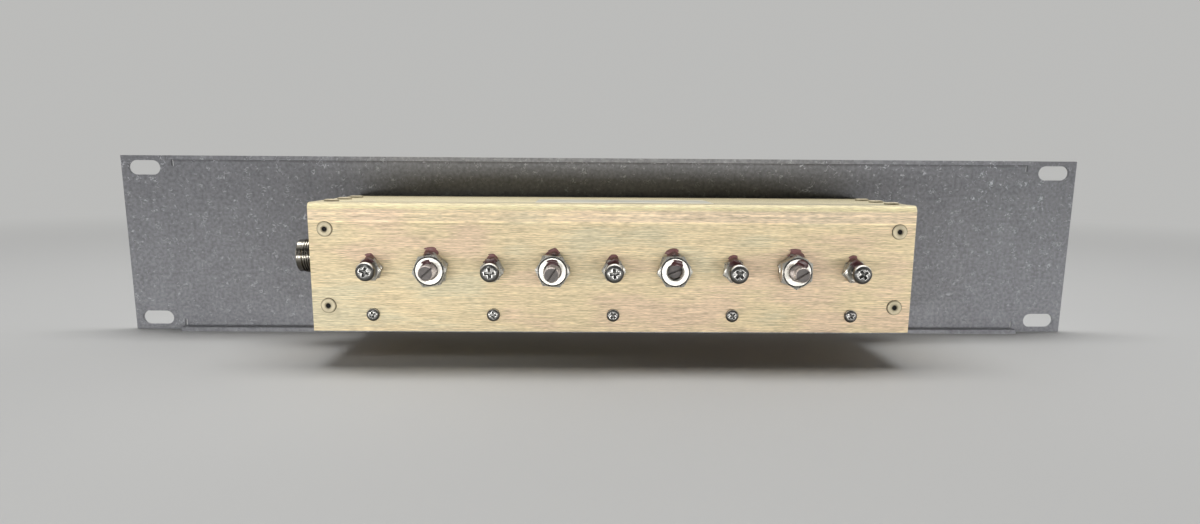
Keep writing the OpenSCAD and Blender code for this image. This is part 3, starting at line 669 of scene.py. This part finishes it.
def cross_screw(radius, length_mm, head_radius, head_height, turn, pitch=None):
    """Pan-head screw with its head's underside on z = 0.

    The head is flat to half its radius R and falls from there as a quarter of an ellipse,
    z = h - d (1 - root(1 - q squared)) with q = 2 r / R - 1, on a polar grid, less a cross: two
    crossing arms that grow shallower outwards, with steep walls and a raised lip whose sides are
    painted bright, a painted highlight. The shank is a thread, or plain where no pitch is given."""
    sides, edge = 96, 0.40 * head_height
    arm_half, arm_end = 0.115, 0.50
    share = np.concatenate([np.linspace(0.995, 0.80, 8), np.linspace(0.77, 0, 34)])
    t = np.arange(sides)[:, None] * 2 * np.pi / sides - turn
    u, v = np.abs(share * np.cos(t)), np.abs(share * np.sin(t))
    along, across = np.maximum(u, v), np.minimum(u, v)
    outside = np.maximum(across - arm_half, along - arm_end)
    wall = np.clip(0.5 - outside / 0.06, 0, 1)
    lip = np.exp(-((outside - 0.085) / 0.055) ** 2)
    depth = settings().hardware.recess * head_height * (1 - 0.5 * along / arm_end)
    q = np.clip(2 * share - 1, 0, 1)
    cap = head_height * (1 - 0.03 * share) - (head_height - edge) * (1 - np.sqrt(1 - q ** 2))
    cap = cap - wall * depth + 0.013 * head_radius * lip
    r = np.concatenate([[0, radius * 0.9, head_radius - 0.08, head_radius, head_radius],
                        head_radius * share])
    z = np.concatenate([np.broadcast_to([0, 0, 0, 0.08, edge - 0.06], (sides, 5)), cap], 1)
    # A darker tone over the whole head, painted shade in the cross and round the head's edge,
    # and painted highlights on the lip's sides and the upper crest
    sheen_gain = 1.35 if head_radius > 3 else 1.75
    uneven = 0.25 + 0.75 * np.cos(t + turn) ** 2 + 0.15 * np.sin(3 * t + 1.0)
    spots = np.exp(-((along - 0.36) / 0.10) ** 2)
    grime_and_painted_light = wall * (0.50 * spots - 0.15) + 0.42 + 0.20 * np.clip((share - 0.72) / 0.10, 0, 1)
    crest = np.clip((np.sin(t + turn) - 0.30) / 0.3, 0, 1) * np.clip((share - 0.86) / 0.06, 0, 1)
    grime_and_painted_light = grime_and_painted_light * (1 - crest) - crest
    grime_and_painted_light = np.where((lip > 0.35) & (wall < 0.5), 0.55 - sheen_gain * lip * uneven, grime_and_painted_light)
    grime_and_painted_light = np.concatenate([np.broadcast_to([0, 0, 0.4, 0.4, 0.35], (sides, 5)), grime_and_painted_light], 1)
    if pitch:
        shank = thread(radius, pitch, 0.55 * pitch, -length_mm, 0.3, 36)
    else:
        shank = turned([0, radius, radius, 0], [-length_mm, -length_mm, 0.2, 0.2], 32)
    return joined([with_dirt_and_painted_light(turned(r, z, sides), grime_and_painted_light.ravel()), shank])


def slotted_end(radius, height, slot_w, slot_d, chamfer, turn, rim):
    """End of a slotted screw, from z = 0: across each chord x the profile rises to the top.

    Half the chord is the root of r squared less x squared; the chords inside the slot stop
    slot_d lower, and the slot is painted dark, a painted shade. rim is how much painted shade
    darkens the outer edge."""
    half = slot_w / 2
    side = np.append(np.linspace(half, radius * 0.9, 9), radius * np.array([0.95, 0.98, 1.0]))
    x = np.concatenate([-side[::-1], [-half + 1e-4], [half - 1e-4], side])
    inside = np.abs(x) < half
    top = height - np.maximum(0, np.abs(x) - (radius - chamfer)) - np.where(inside, slot_d, 0)
    z = top[:, None] * np.array([0, 1, 1, 1, 1, 1, 1, 0])
    z[:, 1] = z[:, 6] = np.minimum(height - chamfer, top)
    r_top = np.maximum(np.where(inside, radius, radius - chamfer), np.abs(x))
    low_y = np.sqrt(np.maximum(0, radius ** 2 - x ** 2))
    top_y = np.sqrt(np.maximum(0, r_top ** 2 - x ** 2))
    y = np.stack([low_y, low_y, top_y, 0.5 * top_y, -0.5 * top_y, -top_y, -low_y, -low_y], 1)
    points = np.stack([np.broadcast_to(x[:, None], y.shape), y, z], -1)
    c, s = math.cos(turn), math.sin(turn)
    points = points @ np.array([[c, s, 0], [-s, c, 0], [0, 0, 1]])
    faces = grid_faces(len(x), y.shape[1], False)[:, ::-1]
    outer = np.maximum(np.abs(x)[:, None] >= 0.94 * radius, np.isin(np.arange(8), (2, 5)))
    return with_dirt_and_painted_light((points.reshape(-1, 3), faces),
                 np.maximum(0.45 * inside[:, None], rim * outer).ravel())


def blind_rivet(radius, height, hole, rim):
    """Head of a set blind rivet: a flat dome with a steep rolled edge, dished about the pin hole,
    and the broken pin in the hole, painted dark there as painted shade over the pin's own dark
    steel. rim is how much painted shade darkens the edge round the head."""
    r = np.array([0, 0.5, 1, 1, 0.985, 0.94, 0.86, 0.76, 0.66, 0.58, 0.50]) * radius
    z = np.array([-0.3, -0.3, -0.3, 0.40, 0.56, 0.72, 0.84, 0.92, 0.97, 1.0, 0.98]) * height
    inner_r = np.array([1.45, 1.34, 1.12, 1.03, 1.0, 0.98, 0.5, 0.45, 0]) * hole
    inner_z = np.array([0.96, 0.82, 0.76, 0.68, 0.55, 0.05, 0.05, 0.16, 0.12]) * height
    grime_and_painted_light = np.append(np.array([0, 0, 0.8, 0.8, 0.55, 0.30, 0.0, -0.3, 0.1, 0.05, 0.15]) * rim,
                      [0.30, 0.42, 0.40, 0.95, 1, 1, 1, 1, 1])
    sides = 56
    shell = turned(np.concatenate([r, inner_r]), np.concatenate([z, inner_z]), sides)
    return with_dirt_and_painted_light(shell, np.tile(grime_and_painted_light, sides))


def hexagon_reach(angle, half_width, turn):
    """Distance from the axis to a hexagon's flat in a direction: half_width over the cosine of
    the angle to the middle of the nearest flat."""
    off = (angle - turn + np.pi / 6) % (np.pi / 3) - np.pi / 6
    return half_width / np.cos(off)


def varnish_patch(path, half_width, turn, lean, seed):
    """Patch of varnish draped over an adjuster's upper side.

    Each knot of the path gives how much of the radius comes from the hexagon, a further radius, a
    height, the skin's thickness and half its width. Across the spine the skin thins as the root of
    one less q squared; a hidden underside closes it."""
    knots, wide, tall, ragged = np.asarray(path, float), 25, 44, 0.14
    q = np.linspace(-1, 1, wide)[None, :]
    s = np.linspace(0, len(knots) - 1, tall)[:, None]
    hexed, more, height, thick, half = (np.interp(s, np.arange(len(knots)), c) for c in knots.T)
    half = half * (1 + ragged * (np.sin(2.3 * s + seed) + 0.5 * np.sin(5.1 * s + 2.3 * seed)))
    spine = hexed * half_width + more
    angle = np.pi / 2 + lean + q * half / spine + 0.05 * np.sin(1.7 * s + seed)
    r = hexed * hexagon_reach(angle, half_width, turn) + more
    along = np.stack([np.gradient(spine[:, 0]), np.gradient(height[:, 0])], -1)
    along /= np.linalg.norm(along, axis=1, keepdims=True)
    out_r, out_z = -along[:, 1:2], along[:, 0:1]
    flip = np.where(out_r + out_z < 0, -1.0, 1.0)
    swell = np.maximum(0, 1 - q ** 2) ** 0.4
    taper = np.minimum(1, np.minimum(s, s[-1] - s) / 0.35) ** 0.5
    sheets = []
    for amount in (thick * swell * taper + 0.02, -0.25):
        rr, zz = r + flip * out_r * amount, height + flip * out_z * amount
        sheets.append(np.stack([rr * np.cos(angle), rr * np.sin(angle), zz + 0 * q], -1))
    faces = grid_faces(tall, wide, False)
    grid = np.arange(tall * wide).reshape(tall, wide)
    rim = np.concatenate([grid[0], grid[1:, -1], grid[-1, -2::-1], grid[-2:0:-1, 0]])
    low = rim + grid.size
    wall = np.stack([np.roll(rim, -1), rim, low, np.roll(low, -1)], -1)
    points = np.concatenate([sheet.reshape(-1, 3) for sheet in sheets])
    return points, np.concatenate([faces[:, ::-1], faces + grid.size, wall[:, ::-1]])


# Operators

class Dresser:
    """What every operator here has: it raises if it can't finish."""

    bl_options = {"REGISTER", "UNDO"}

    def execute(self, context):
        self.dress(settings())
        return {"FINISHED"}


class FILTER_OT_rack_panel(Dresser, bpy.types.Operator):
    """Paint the rack panel with textured grey paint"""

    bl_idname = "preselector.rack_panel"
    bl_label = "Rack Panel"

    def dress(self, s):
        finish(hammer_paint(s.paint), "rack_panel")


class FILTER_OT_housing(Dresser, bpy.types.Operator):
    """Give the folded shell, the end plates and the bottom cover their brushed chromate"""

    bl_idname = "preselector.housing"
    bl_label = "Housing"

    def dress(self, s):
        finish(brushed_chromate("chromate_shell", s.sheet, "x", True), "housing_shell")
        finish(brushed_chromate("chromate_ends", s.sheet, "y", False), "left_end_plate",
               "right_end_plate")
        finish(brushed_chromate("chromate_cover", s.sheet, "x", False), "bottom_cover")


class FILTER_OT_rivets(Dresser, bpy.types.Operator):
    """Set blind rivets in the outer wall and on the top, and finish the flush ones"""

    bl_idname = "preselector.rivets"
    bl_label = "Rivets"

    def dress(self, s):
        metal = plated_metal("rivet_alloy", tuple(s.hardware.rivet), 0.40, 0.55, metallic=0.4,
                             fine=1500.0, wear_and_sheen=(0.80, 0.72, 0.52))
        wall = [(x, WALL_Y, z) for x in row("wall_rivets", X, 2, RIVET_RADIUS)
                for z in row("wall_rivets", Z, 2, RIVET_RADIUS)]
        top = [(x, y, SHELL_HIGH[Z]) for x in row("top_rivets", X, 2, RIVET_RADIUS)
               for y in row("top_rivets", Y, 3, RIVET_RADIUS)]
        # rim: painted shade round the heads, lighter on the top
        for facing, places, rim in (("wall", wall, 1.0), ("top", top, 0.35)):
            head = blind_rivet(RIVET_RADIUS, height=1.0, hole=0.95, rim=rim)
            name = facing + "_rivets"
            piece(name + "_heads", [placed(head, facing, at) for at in places], metal,
                  [name])
        finish(metal, "flush_rivets")


class FILTER_OT_small_screws(Dresser, bpy.types.Operator):
    """Make the cross-head screws of the cover, the jacks and the panel"""

    bl_idname = "preselector.small_screws"
    bl_label = "Small Screws"

    def dress(self, s):
        steel, zinc = shared("dull_steel"), shared("zinc_plate")
        turns = (0.35, 0.08, 0.75, 0.70, 0.55)
        low, high = span("cover_screws")
        r, z = (high[Z] - low[Z]) / 2, (low[Z] + high[Z]) / 2
        size = (COVER_SHANK, COVER_LENGTH, r, COVER_HEAD)
        shells = [placed(cross_screw(*size, turn), "wall", (x, WALL_Y, z))
                  for turn, x in zip(turns, row("cover_screws", X, 5, r))]
        piece("cover_screw_heads", shells, steel, ["cover_screws"])
        shells = [placed(cross_screw(*size, turn), "under", (x, y, SHELL_LOW[Z]))
                  for x in row("cover_end_screws", X, 2, r)
                  for turn, y in zip(turns, row("cover_end_screws", Y, 3, r))]
        piece("cover_end_screw_heads", shells, steel, ["cover_end_screws"])
        for side, name in (("left", "input_jack_screws"), ("right", "output_jack_screws")):
            low, high = span(name)
            x = low[X] + COVER_HEAD if side == "left" else high[X] - COVER_HEAD
            shells = [placed(cross_screw(*size, turns[i] + j), side, (x, y, z))
                      for i, y in enumerate(row(name, Y, 2, r))
                      for j, z in enumerate(row(name, Z, 2, r))]
            piece(name + "_heads", shells, zinc, [name])
        shank, r, tall = PANEL_THREAD / 2, 1.9 * PANEL_THREAD / 2, 0.65 * PANEL_THREAD
        # The raised lip of the cross stands up to 0.04 mm above the head
        y = span("panel_screws")[1][Y] - tall - 0.04
        size = (shank, PANEL_LENGTH, r, tall)
        shells = [placed(cross_screw(*size, turns[i] + j), "panel", (x, y, z))
                  for i, x in enumerate(row("panel_screws", X, 2, r))
                  for j, z in enumerate(row("panel_screws", Z, 2, r))]
        piece("panel_screw_heads", shells, zinc, ["panel_screws"])
        finish(zinc, "panel_nuts")


class FILTER_OT_tuning_screws(Dresser, bpy.types.Operator):
    """Make the five tuning screws with their threads and cross recesses"""

    bl_idname = "preselector.tuning_screws"
    bl_label = "Tuning Screws"

    def dress(self, s):
        steel = shared("dull_steel")
        for name, turn in zip(TUNING, (-0.30, 0.10, 0.12, 0.75, 0.62)):
            (low, high), (x, _, z) = span(name), centre(name)
            shell = cross_screw(TUNING_SHANK, high[Y] - low[Y] - TUNING_HEAD,
                                (high[X] - low[X]) / 2, TUNING_HEAD, turn, s.hardware.fine_pitch)
            piece(name + "_cut", [placed(shell, "wall", (x, low[Y] + TUNING_HEAD, z))], steel,
                  [name])


class FILTER_OT_coupling_screws(Dresser, bpy.types.Operator):
    """Make the four coupling screws with their threads and driver slots"""

    bl_idname = "preselector.coupling_screws"
    bl_label = "Coupling Screws"

    def dress(self, s):
        metal = rod_metal(tuple(s.hardware.rod))
        # rim: painted shade round the third screw's end
        for name, turn, rim in zip(COUPLING, (42, 55, 20, 32), (0.0, 0.0, 0.8, 0.0)):
            (low, high), (x, _, z) = span(name), centre(name)
            foot = high[Y] - low[Y] - COUPLING_TIP
            rod = thread(COUPLING_RADIUS, s.hardware.fine_pitch, 0.42, 0, foot + 0.3, 48)
            end = slotted_end(COUPLING_RADIUS - 0.06, COUPLING_TIP, slot_w=0.8, slot_d=1.3,
                              chamfer=0.30, turn=math.radians(turn + 90), rim=rim)
            piece(name + "_cut", [placed(rod, "wall", (x, high[Y], z)),
                                  placed(end, "wall", (x, high[Y] - foot, z))],
                  metal, [name])


class FILTER_OT_hexagons(Dresser, bpy.types.Operator):
    """Plate the bushings, the lock nuts and the nuts inside"""

    bl_idname = "preselector.hexagons"
    bl_label = "Bushings and Nuts"

    def dress(self, s):
        finish(shared("nickel_plate"), "tuning_bushings", "tuning_bushing_nuts",
               "tuning_lock_nuts", "coupling_bushings", "coupling_bushing_nuts")
        finish(shared("lined_nickel"), "coupling_lock_nuts")


class FILTER_OT_jacks(Dresser, bpy.types.Operator):
    """Make the coaxial jacks with their threads, and finish what stands in them"""

    bl_idname = "preselector.jacks"
    bl_label = "Coaxial Jacks"

    def body(self, pitch):
        """Jack from z = 0 on the end plate: a square flange, and one turned profile that runs up
        the outside and back down the stepped bore. The thread is a sleeve on it."""
        major, rim, neck, bore, foot = 7.94, 7.59, 7.09, 3.45, -JACK_DEPTH
        core = major - 0.66
        profile = ((bore, foot), (5.5, foot), (5.5, 2.4), (neck, 2.4), (neck, 8.7), (core, 9.2),
                   (core, 18.2), (rim - 0.1, 18.4), (rim, 18.5), (rim, 20.6), (rim - 0.35, 21.0),
                   (4.45, 21.0), (4.05, 20.6), (4.05, 12.0), (bore, 12.0), (bore, foot))
        sides = 72
        return [plate(25.4, 25.4, corner=1.6, high=2.5, bevel=0.18, bore=4.5),
                turned(*np.transpose(profile), sides),
                thread(major, pitch, 0.6, 8.9, 18.4, sides, bore=major - 0.7)]

    def dress(self, s):
        for side, name in (("left", "input"), ("right", "output")):
            (low, high), (_, y, z) = span(name + "_jack"), centre(name + "_jack")
            x = high[X] - JACK_DEPTH if side == "left" else low[X] + JACK_DEPTH
            shells = [placed(shell, side, (x, y, z)) for shell in self.body(s.hardware.jack_pitch)]
            piece(name + "_jack_turned", shells, shared("aged_nickel"),
                  [name + "_jack"])
            finish(shared("gold_plate"), name + "_contact")
            finish(shared("bare_copper"), name + "_tap")
        finish(fluoroplastic(), "input_insulator", "output_insulator")


class FILTER_OT_inside(Dresser, bpy.types.Operator):
    """Silver the resonators and finish the screws that hold them"""

    bl_idname = "preselector.inside"
    bl_label = "Resonators"

    def dress(self, s):
        finish(shared("silver_plate"), *("resonator_%d" % i for i in range(1, 6)))
        finish(shared("zinc_plate"), "resonator_screws")


class FILTER_OT_varnish(Dresser, bpy.types.Operator):
    """Seal each adjuster with a dab of dark red varnish"""

    bl_idname = "preselector.varnish"
    bl_label = "Varnish Dabs"

    def small(self, reach):
        """Path of one dab from the wall over both hexagons to the small screw."""
        tip = 5.05 + reach
        return ((0, tip, 0, 0.2, 0.9), (0, tip - 0.25, 0, 0.4, 1.5), (0, tip - 0.75, 0, 0.55, 1.8),
                (1, 0.35, 0.25, 0.5, 2.3), (1, 0.0, 1.0, 0.45, 2.9), (1, 0.0, 3.2, 0.4, 3.1),
                (1, -0.1, 4.6, 0.4, 3.0), (0.86, 0, 5.2, 0.4, 2.7), (0, 2.7, 5.3, 0.5, 2.0),
                (0, 2.1, 6.2, 0.35, 1.5), (0, 2.1, 7.4, 0.2, 1.0))

    def rear(self, reach, square):
        """Path of the dab between the wall and the upper flats of a large adjuster. Its tip is
        square to the axis, or follows the hexagon."""
        like, tip = 1 - square, square * 7.33 + reach
        return ((like, tip, 0, 0.2, 1.7), (like, tip - 0.3, 0, 0.45, 2.5),
                (like, tip - 0.9, 0, 0.65, 2.75), (1, 0.4, 0.3, 0.7, 2.9), (1, 0.0, 1.2, 0.5, 2.9),
                (1, 0.0, 2.8, 0.4, 2.8), (1, -0.1, 4.2, 0.3, 2.2))

    def front(self, start, wide):
        """Path of the dab from the lock nut's front ring to the large screw."""
        return ((0, start, 8.0, 0.15, 1.9 * wide), (0, start - 0.5, 8.0, 0.4, 2.3 * wide),
                (0, 4.1, 7.9, 0.5, 2.5 * wide), (0, 3.3, 8.0, 0.6, 2.3 * wide),
                (0, 3.15, 8.8, 0.35, 1.8 * wide), (0, 3.15, 9.8, 0.15, 1.0 * wide))

    def dress(self, s):
        varnish, reach = lock_varnish(s.varnish), s.varnish.reach

        def seal(kind, k, dabs):
            """One piece for an adjuster's dabs."""
            x, _, z = centre("%s_screw_%d" % (kind, k + 1))
            piece("varnish_%s_%d" % (kind, k + 1),
                  [placed(dab, "wall", (x, WALL_Y, z)) for dab in dabs], varnish)

        for k, (turn, lean) in enumerate(((-2, 0.12), (-14, 0.05), (-6, 0.02), (11, 0.04),
                                          (4, 0.02))):
            seal("tuning", k, [varnish_patch(self.small(0.8 * reach), TUNING_HEXAGON,
                                             math.radians(turn), lean, 1.3 * k)])
        # The hexagon's turn, then the rear dab's lean and squareness, and the front dab's lean,
        # start and width
        for k, (turn, lean, square, lean_front, start, wide) in enumerate((
                (8, 0.05, 1, 0.28, 4.75, 0.75), (-5, 0.03, 0, 0.0, 5.1, 1.05),
                (0, 0.08, 0.7, -0.20, 5.2, 1.0), (30, -0.08, 1, -0.45, 5.8, 1.05))):
            turn = math.radians(turn)
            seal("coupling", k, [
                varnish_patch(self.rear(reach, square), COUPLING_HEXAGON, turn, lean,
                              0.7 + 1.9 * k),
                varnish_patch(self.front(start, wide), COUPLING_HEXAGON, turn, lean_front,
                              0.2 + 1.1 * k)])


class FILTER_OT_label(Dresser, bpy.types.Operator):
    """Lay the bare foil label on the housing's top"""

    bl_idname = "preselector.label"
    bl_label = "Foil Label"

    def dress(self, s):
        sheet = plate(s.label.width, s.label.depth, corner=1.5, high=0.15, bevel=0.04)
        at = (centre("housing_shell")[X] + s.label.offset, LABEL_Y, SHELL_HIGH[Z])
        piece("foil_label", [placed(sheet, "top", at)], foil(s.label))


class FILTER_OT_stage(Dresser, bpy.types.Operator):
    """Set the pale floor, the soft lights, the backdrop and the camera"""

    bl_idname = "preselector.stage"
    bl_label = "Stage"

    def dress(self, s):
        self.floor(s.stage)
        self.lights(s.stage)
        self.backdrop(s.stage)
        self.camera(s.stage)
        bpy.context.scene.view_settings.view_transform = "Standard"

    def floor(self, s):
        """A wide flat sheet at the panel's lower edge, which fades to the wall's colour far away
        and below the low strips."""
        z, edge = CAD_BOX[0].z, 6.0
        mesh = bpy.data.meshes.new("floor")
        corners = [(-edge, -edge, z), (edge, -edge, z), (edge, edge, z), (-edge, edge, z)]
        mesh.from_pydata(corners, [], [(0, 1, 2, 3)])
        obj = bpy.data.objects.new("floor", mesh)
        bpy.context.scene.collection.objects.link(obj)
        f = Finish("pale_floor", Base_Color=(*s.floor, 1.0), Roughness=0.7, Specular_IOR_Level=0.2)
        glow = f.add("ShaderNodeEmission")
        f.fill(glow, {"Color": s.wall})
        distance = f.add("ShaderNodeVectorMath", operation="LENGTH")
        f.join(f.coordinates.outputs["Object"], distance.inputs[0])
        ray = f.add("ShaderNodeLightPath").outputs
        far = f.times(f.ease(distance.outputs["Value"], 0.40, 1.3),
                      f.math("MAXIMUM", ray["Is Camera Ray"], ray["Is Glossy Ray"]))
        near = f.times(f.ease(f.axis("Y"), -0.26, -0.35), ray["Is Camera Ray"])
        surface = f.blend(f.math("MAXIMUM", far, near), f.shader.outputs[0], glow.outputs[0])
        f.join(surface, f.tree.nodes["Material Output"].inputs["Surface"])
        mesh.materials.append(f.material)

    def lights(self, s):
        """Low strips in front, small lamps on the right and high on the left, a soft one overhead:
        each one's name, power, size, place, aim and spread in degrees."""
        for name, power, size, at, aim, spread in (
                ("front_light", s.key, (0.84, 0.024),
                 (-0.11, -0.50, -0.030), (-0.06, -0.08, 0.0), 180),
                ("floor_light", s.glare, (0.84, 0.014),
                 (-0.10, -0.40, -0.035), (-0.06, -0.04, 0.0), 180),
                ("corner_light", s.corner, (0.07, 0.07),
                 (0.30, -0.45, -0.02), (0.112, -0.09, -0.005), 32),
                ("side_light", s.side, (0.07, 0.07),
                 (0.42, -0.34, -0.025), (0.17, -0.02, 0.005), 64),
                ("upper_light", s.upper, (0.12, 0.12),
                 (-0.18, -0.45, 0.24), (-0.10, -0.09, -0.03), 26),
                ("top_light", s.top, (1.4, 0.4), (0.0, 0.15, 1.1), (0.0, 0.0, 0.0), 180)):
            light = bpy.data.lights.new(name, "AREA")
            light.shape, light.size, light.size_y, light.energy = "RECTANGLE", *size, power
            light.spread = math.radians(spread)
            lamp = bpy.data.objects.new(name, light)
            lamp.location = at
            lamp.rotation_euler = (Vector(aim) - Vector(at)).to_track_quat("-Z", "Y").to_euler()
            lamp.visible_camera = False
            bpy.context.scene.collection.objects.link(lamp)

    def backdrop(self, s):
        """A pale wall behind the filter, and a dim room on the camera's side.

        Metal shows the wall and a pale ceiling; other surfaces are lit by a dimmer room."""
        world = bpy.data.worlds.new("backdrop")
        bpy.context.scene.world = world
        world.use_nodes = True
        world.node_tree.nodes.clear()
        f = Nodes(world.node_tree)

        def sky(colour):
            node = f.add("ShaderNodeBackground")
            f.fill(node, {"Color": colour})
            return node.outputs[0]

        def room(front, back, low, high):
            """Grey that runs from front, on the camera's side, to back."""
            way = f.ease(f.axis("Y", "Generated"), low, high)
            return sky(f.mix(way, (front,) * 3, (back,) * 3))

        ray = f.add("ShaderNodeLightPath").outputs
        shine = f.math("MAXIMUM", ray["Is Glossy Ray"], ray["Is Transmission Ray"])
        lit = f.blend(shine, room(0.02, 0.52, -0.15, 0.35), room(0.05, 0.9, -0.68, -0.10))
        f.join(f.blend(ray["Is Camera Ray"], lit, sky(s.wall)),
               f.add("ShaderNodeOutputWorld").inputs["Surface"])

    def camera(self, s):
        """The camera from the photograph's yaw, pitch and roll, about Z, its own X and its axis."""
        data = bpy.data.cameras.new("camera")
        data.sensor_width, data.lens, data.shift_y = 36.0, s.lens, s.shift
        data.clip_start, data.clip_end = 0.01, 50.0
        cam = bpy.data.objects.new("camera", data)
        upright = Matrix.Rotation(math.pi / 2, 3, "X")
        turn = (Matrix.Rotation(s.yaw, 3, "Z") @ Matrix.Rotation(-s.pitch, 3, "X")
                @ Matrix.Rotation(-s.roll, 3, "Y") @ upright)
        cam.matrix_world = Matrix.Translation(Vector(s.place)) @ turn.to_4x4()
        bpy.context.scene.collection.objects.link(cam)
        bpy.context.scene.camera = cam


class FILTER_PT_dresser(bpy.types.Panel):
    """Lists the operators and their settings"""

    bl_label = "Preselector Filter"
    bl_idname = "FILTER_PT_dresser"
    bl_space_type = "VIEW_3D"
    bl_region_type = "UI"
    bl_category = "Filter"

    def draw(self, context):
        for operator in OPERATORS:
            self.layout.operator(operator.bl_idname)
        for group in ("sheet", "paint", "hardware", "varnish", "label", "stage"):
            box = self.layout.box()
            box.label(text=group.capitalize())
            values = getattr(context.scene.preselector, group)
            for key in values.__annotations__:
                box.prop(values, key)


OPERATORS = (
    FILTER_OT_rack_panel, FILTER_OT_housing, FILTER_OT_rivets, FILTER_OT_small_screws,
    FILTER_OT_tuning_screws, FILTER_OT_coupling_screws, FILTER_OT_hexagons, FILTER_OT_jacks,
    FILTER_OT_inside, FILTER_OT_varnish, FILTER_OT_label, FILTER_OT_stage,
)
GROUPS = (SheetSettings, PaintSettings, HardwareSettings, VarnishSettings, LabelSettings,
          StageSettings, FilterSettings)


def register():
    for item in GROUPS + OPERATORS + (FILTER_PT_dresser,):
        bpy.utils.register_class(item)
    bpy.types.Scene.preselector = PointerProperty(type=FilterSettings)


def unregister():
    del bpy.types.Scene.preselector
    for item in reversed(GROUPS + OPERATORS + (FILTER_PT_dresser,)):
        bpy.utils.unregister_class(item)


def main():
    register()
    for operator in OPERATORS:
        group, name = operator.bl_idname.split(".")
        getattr(getattr(bpy.ops, group), name)()


if __name__ == "__main__":
    main()
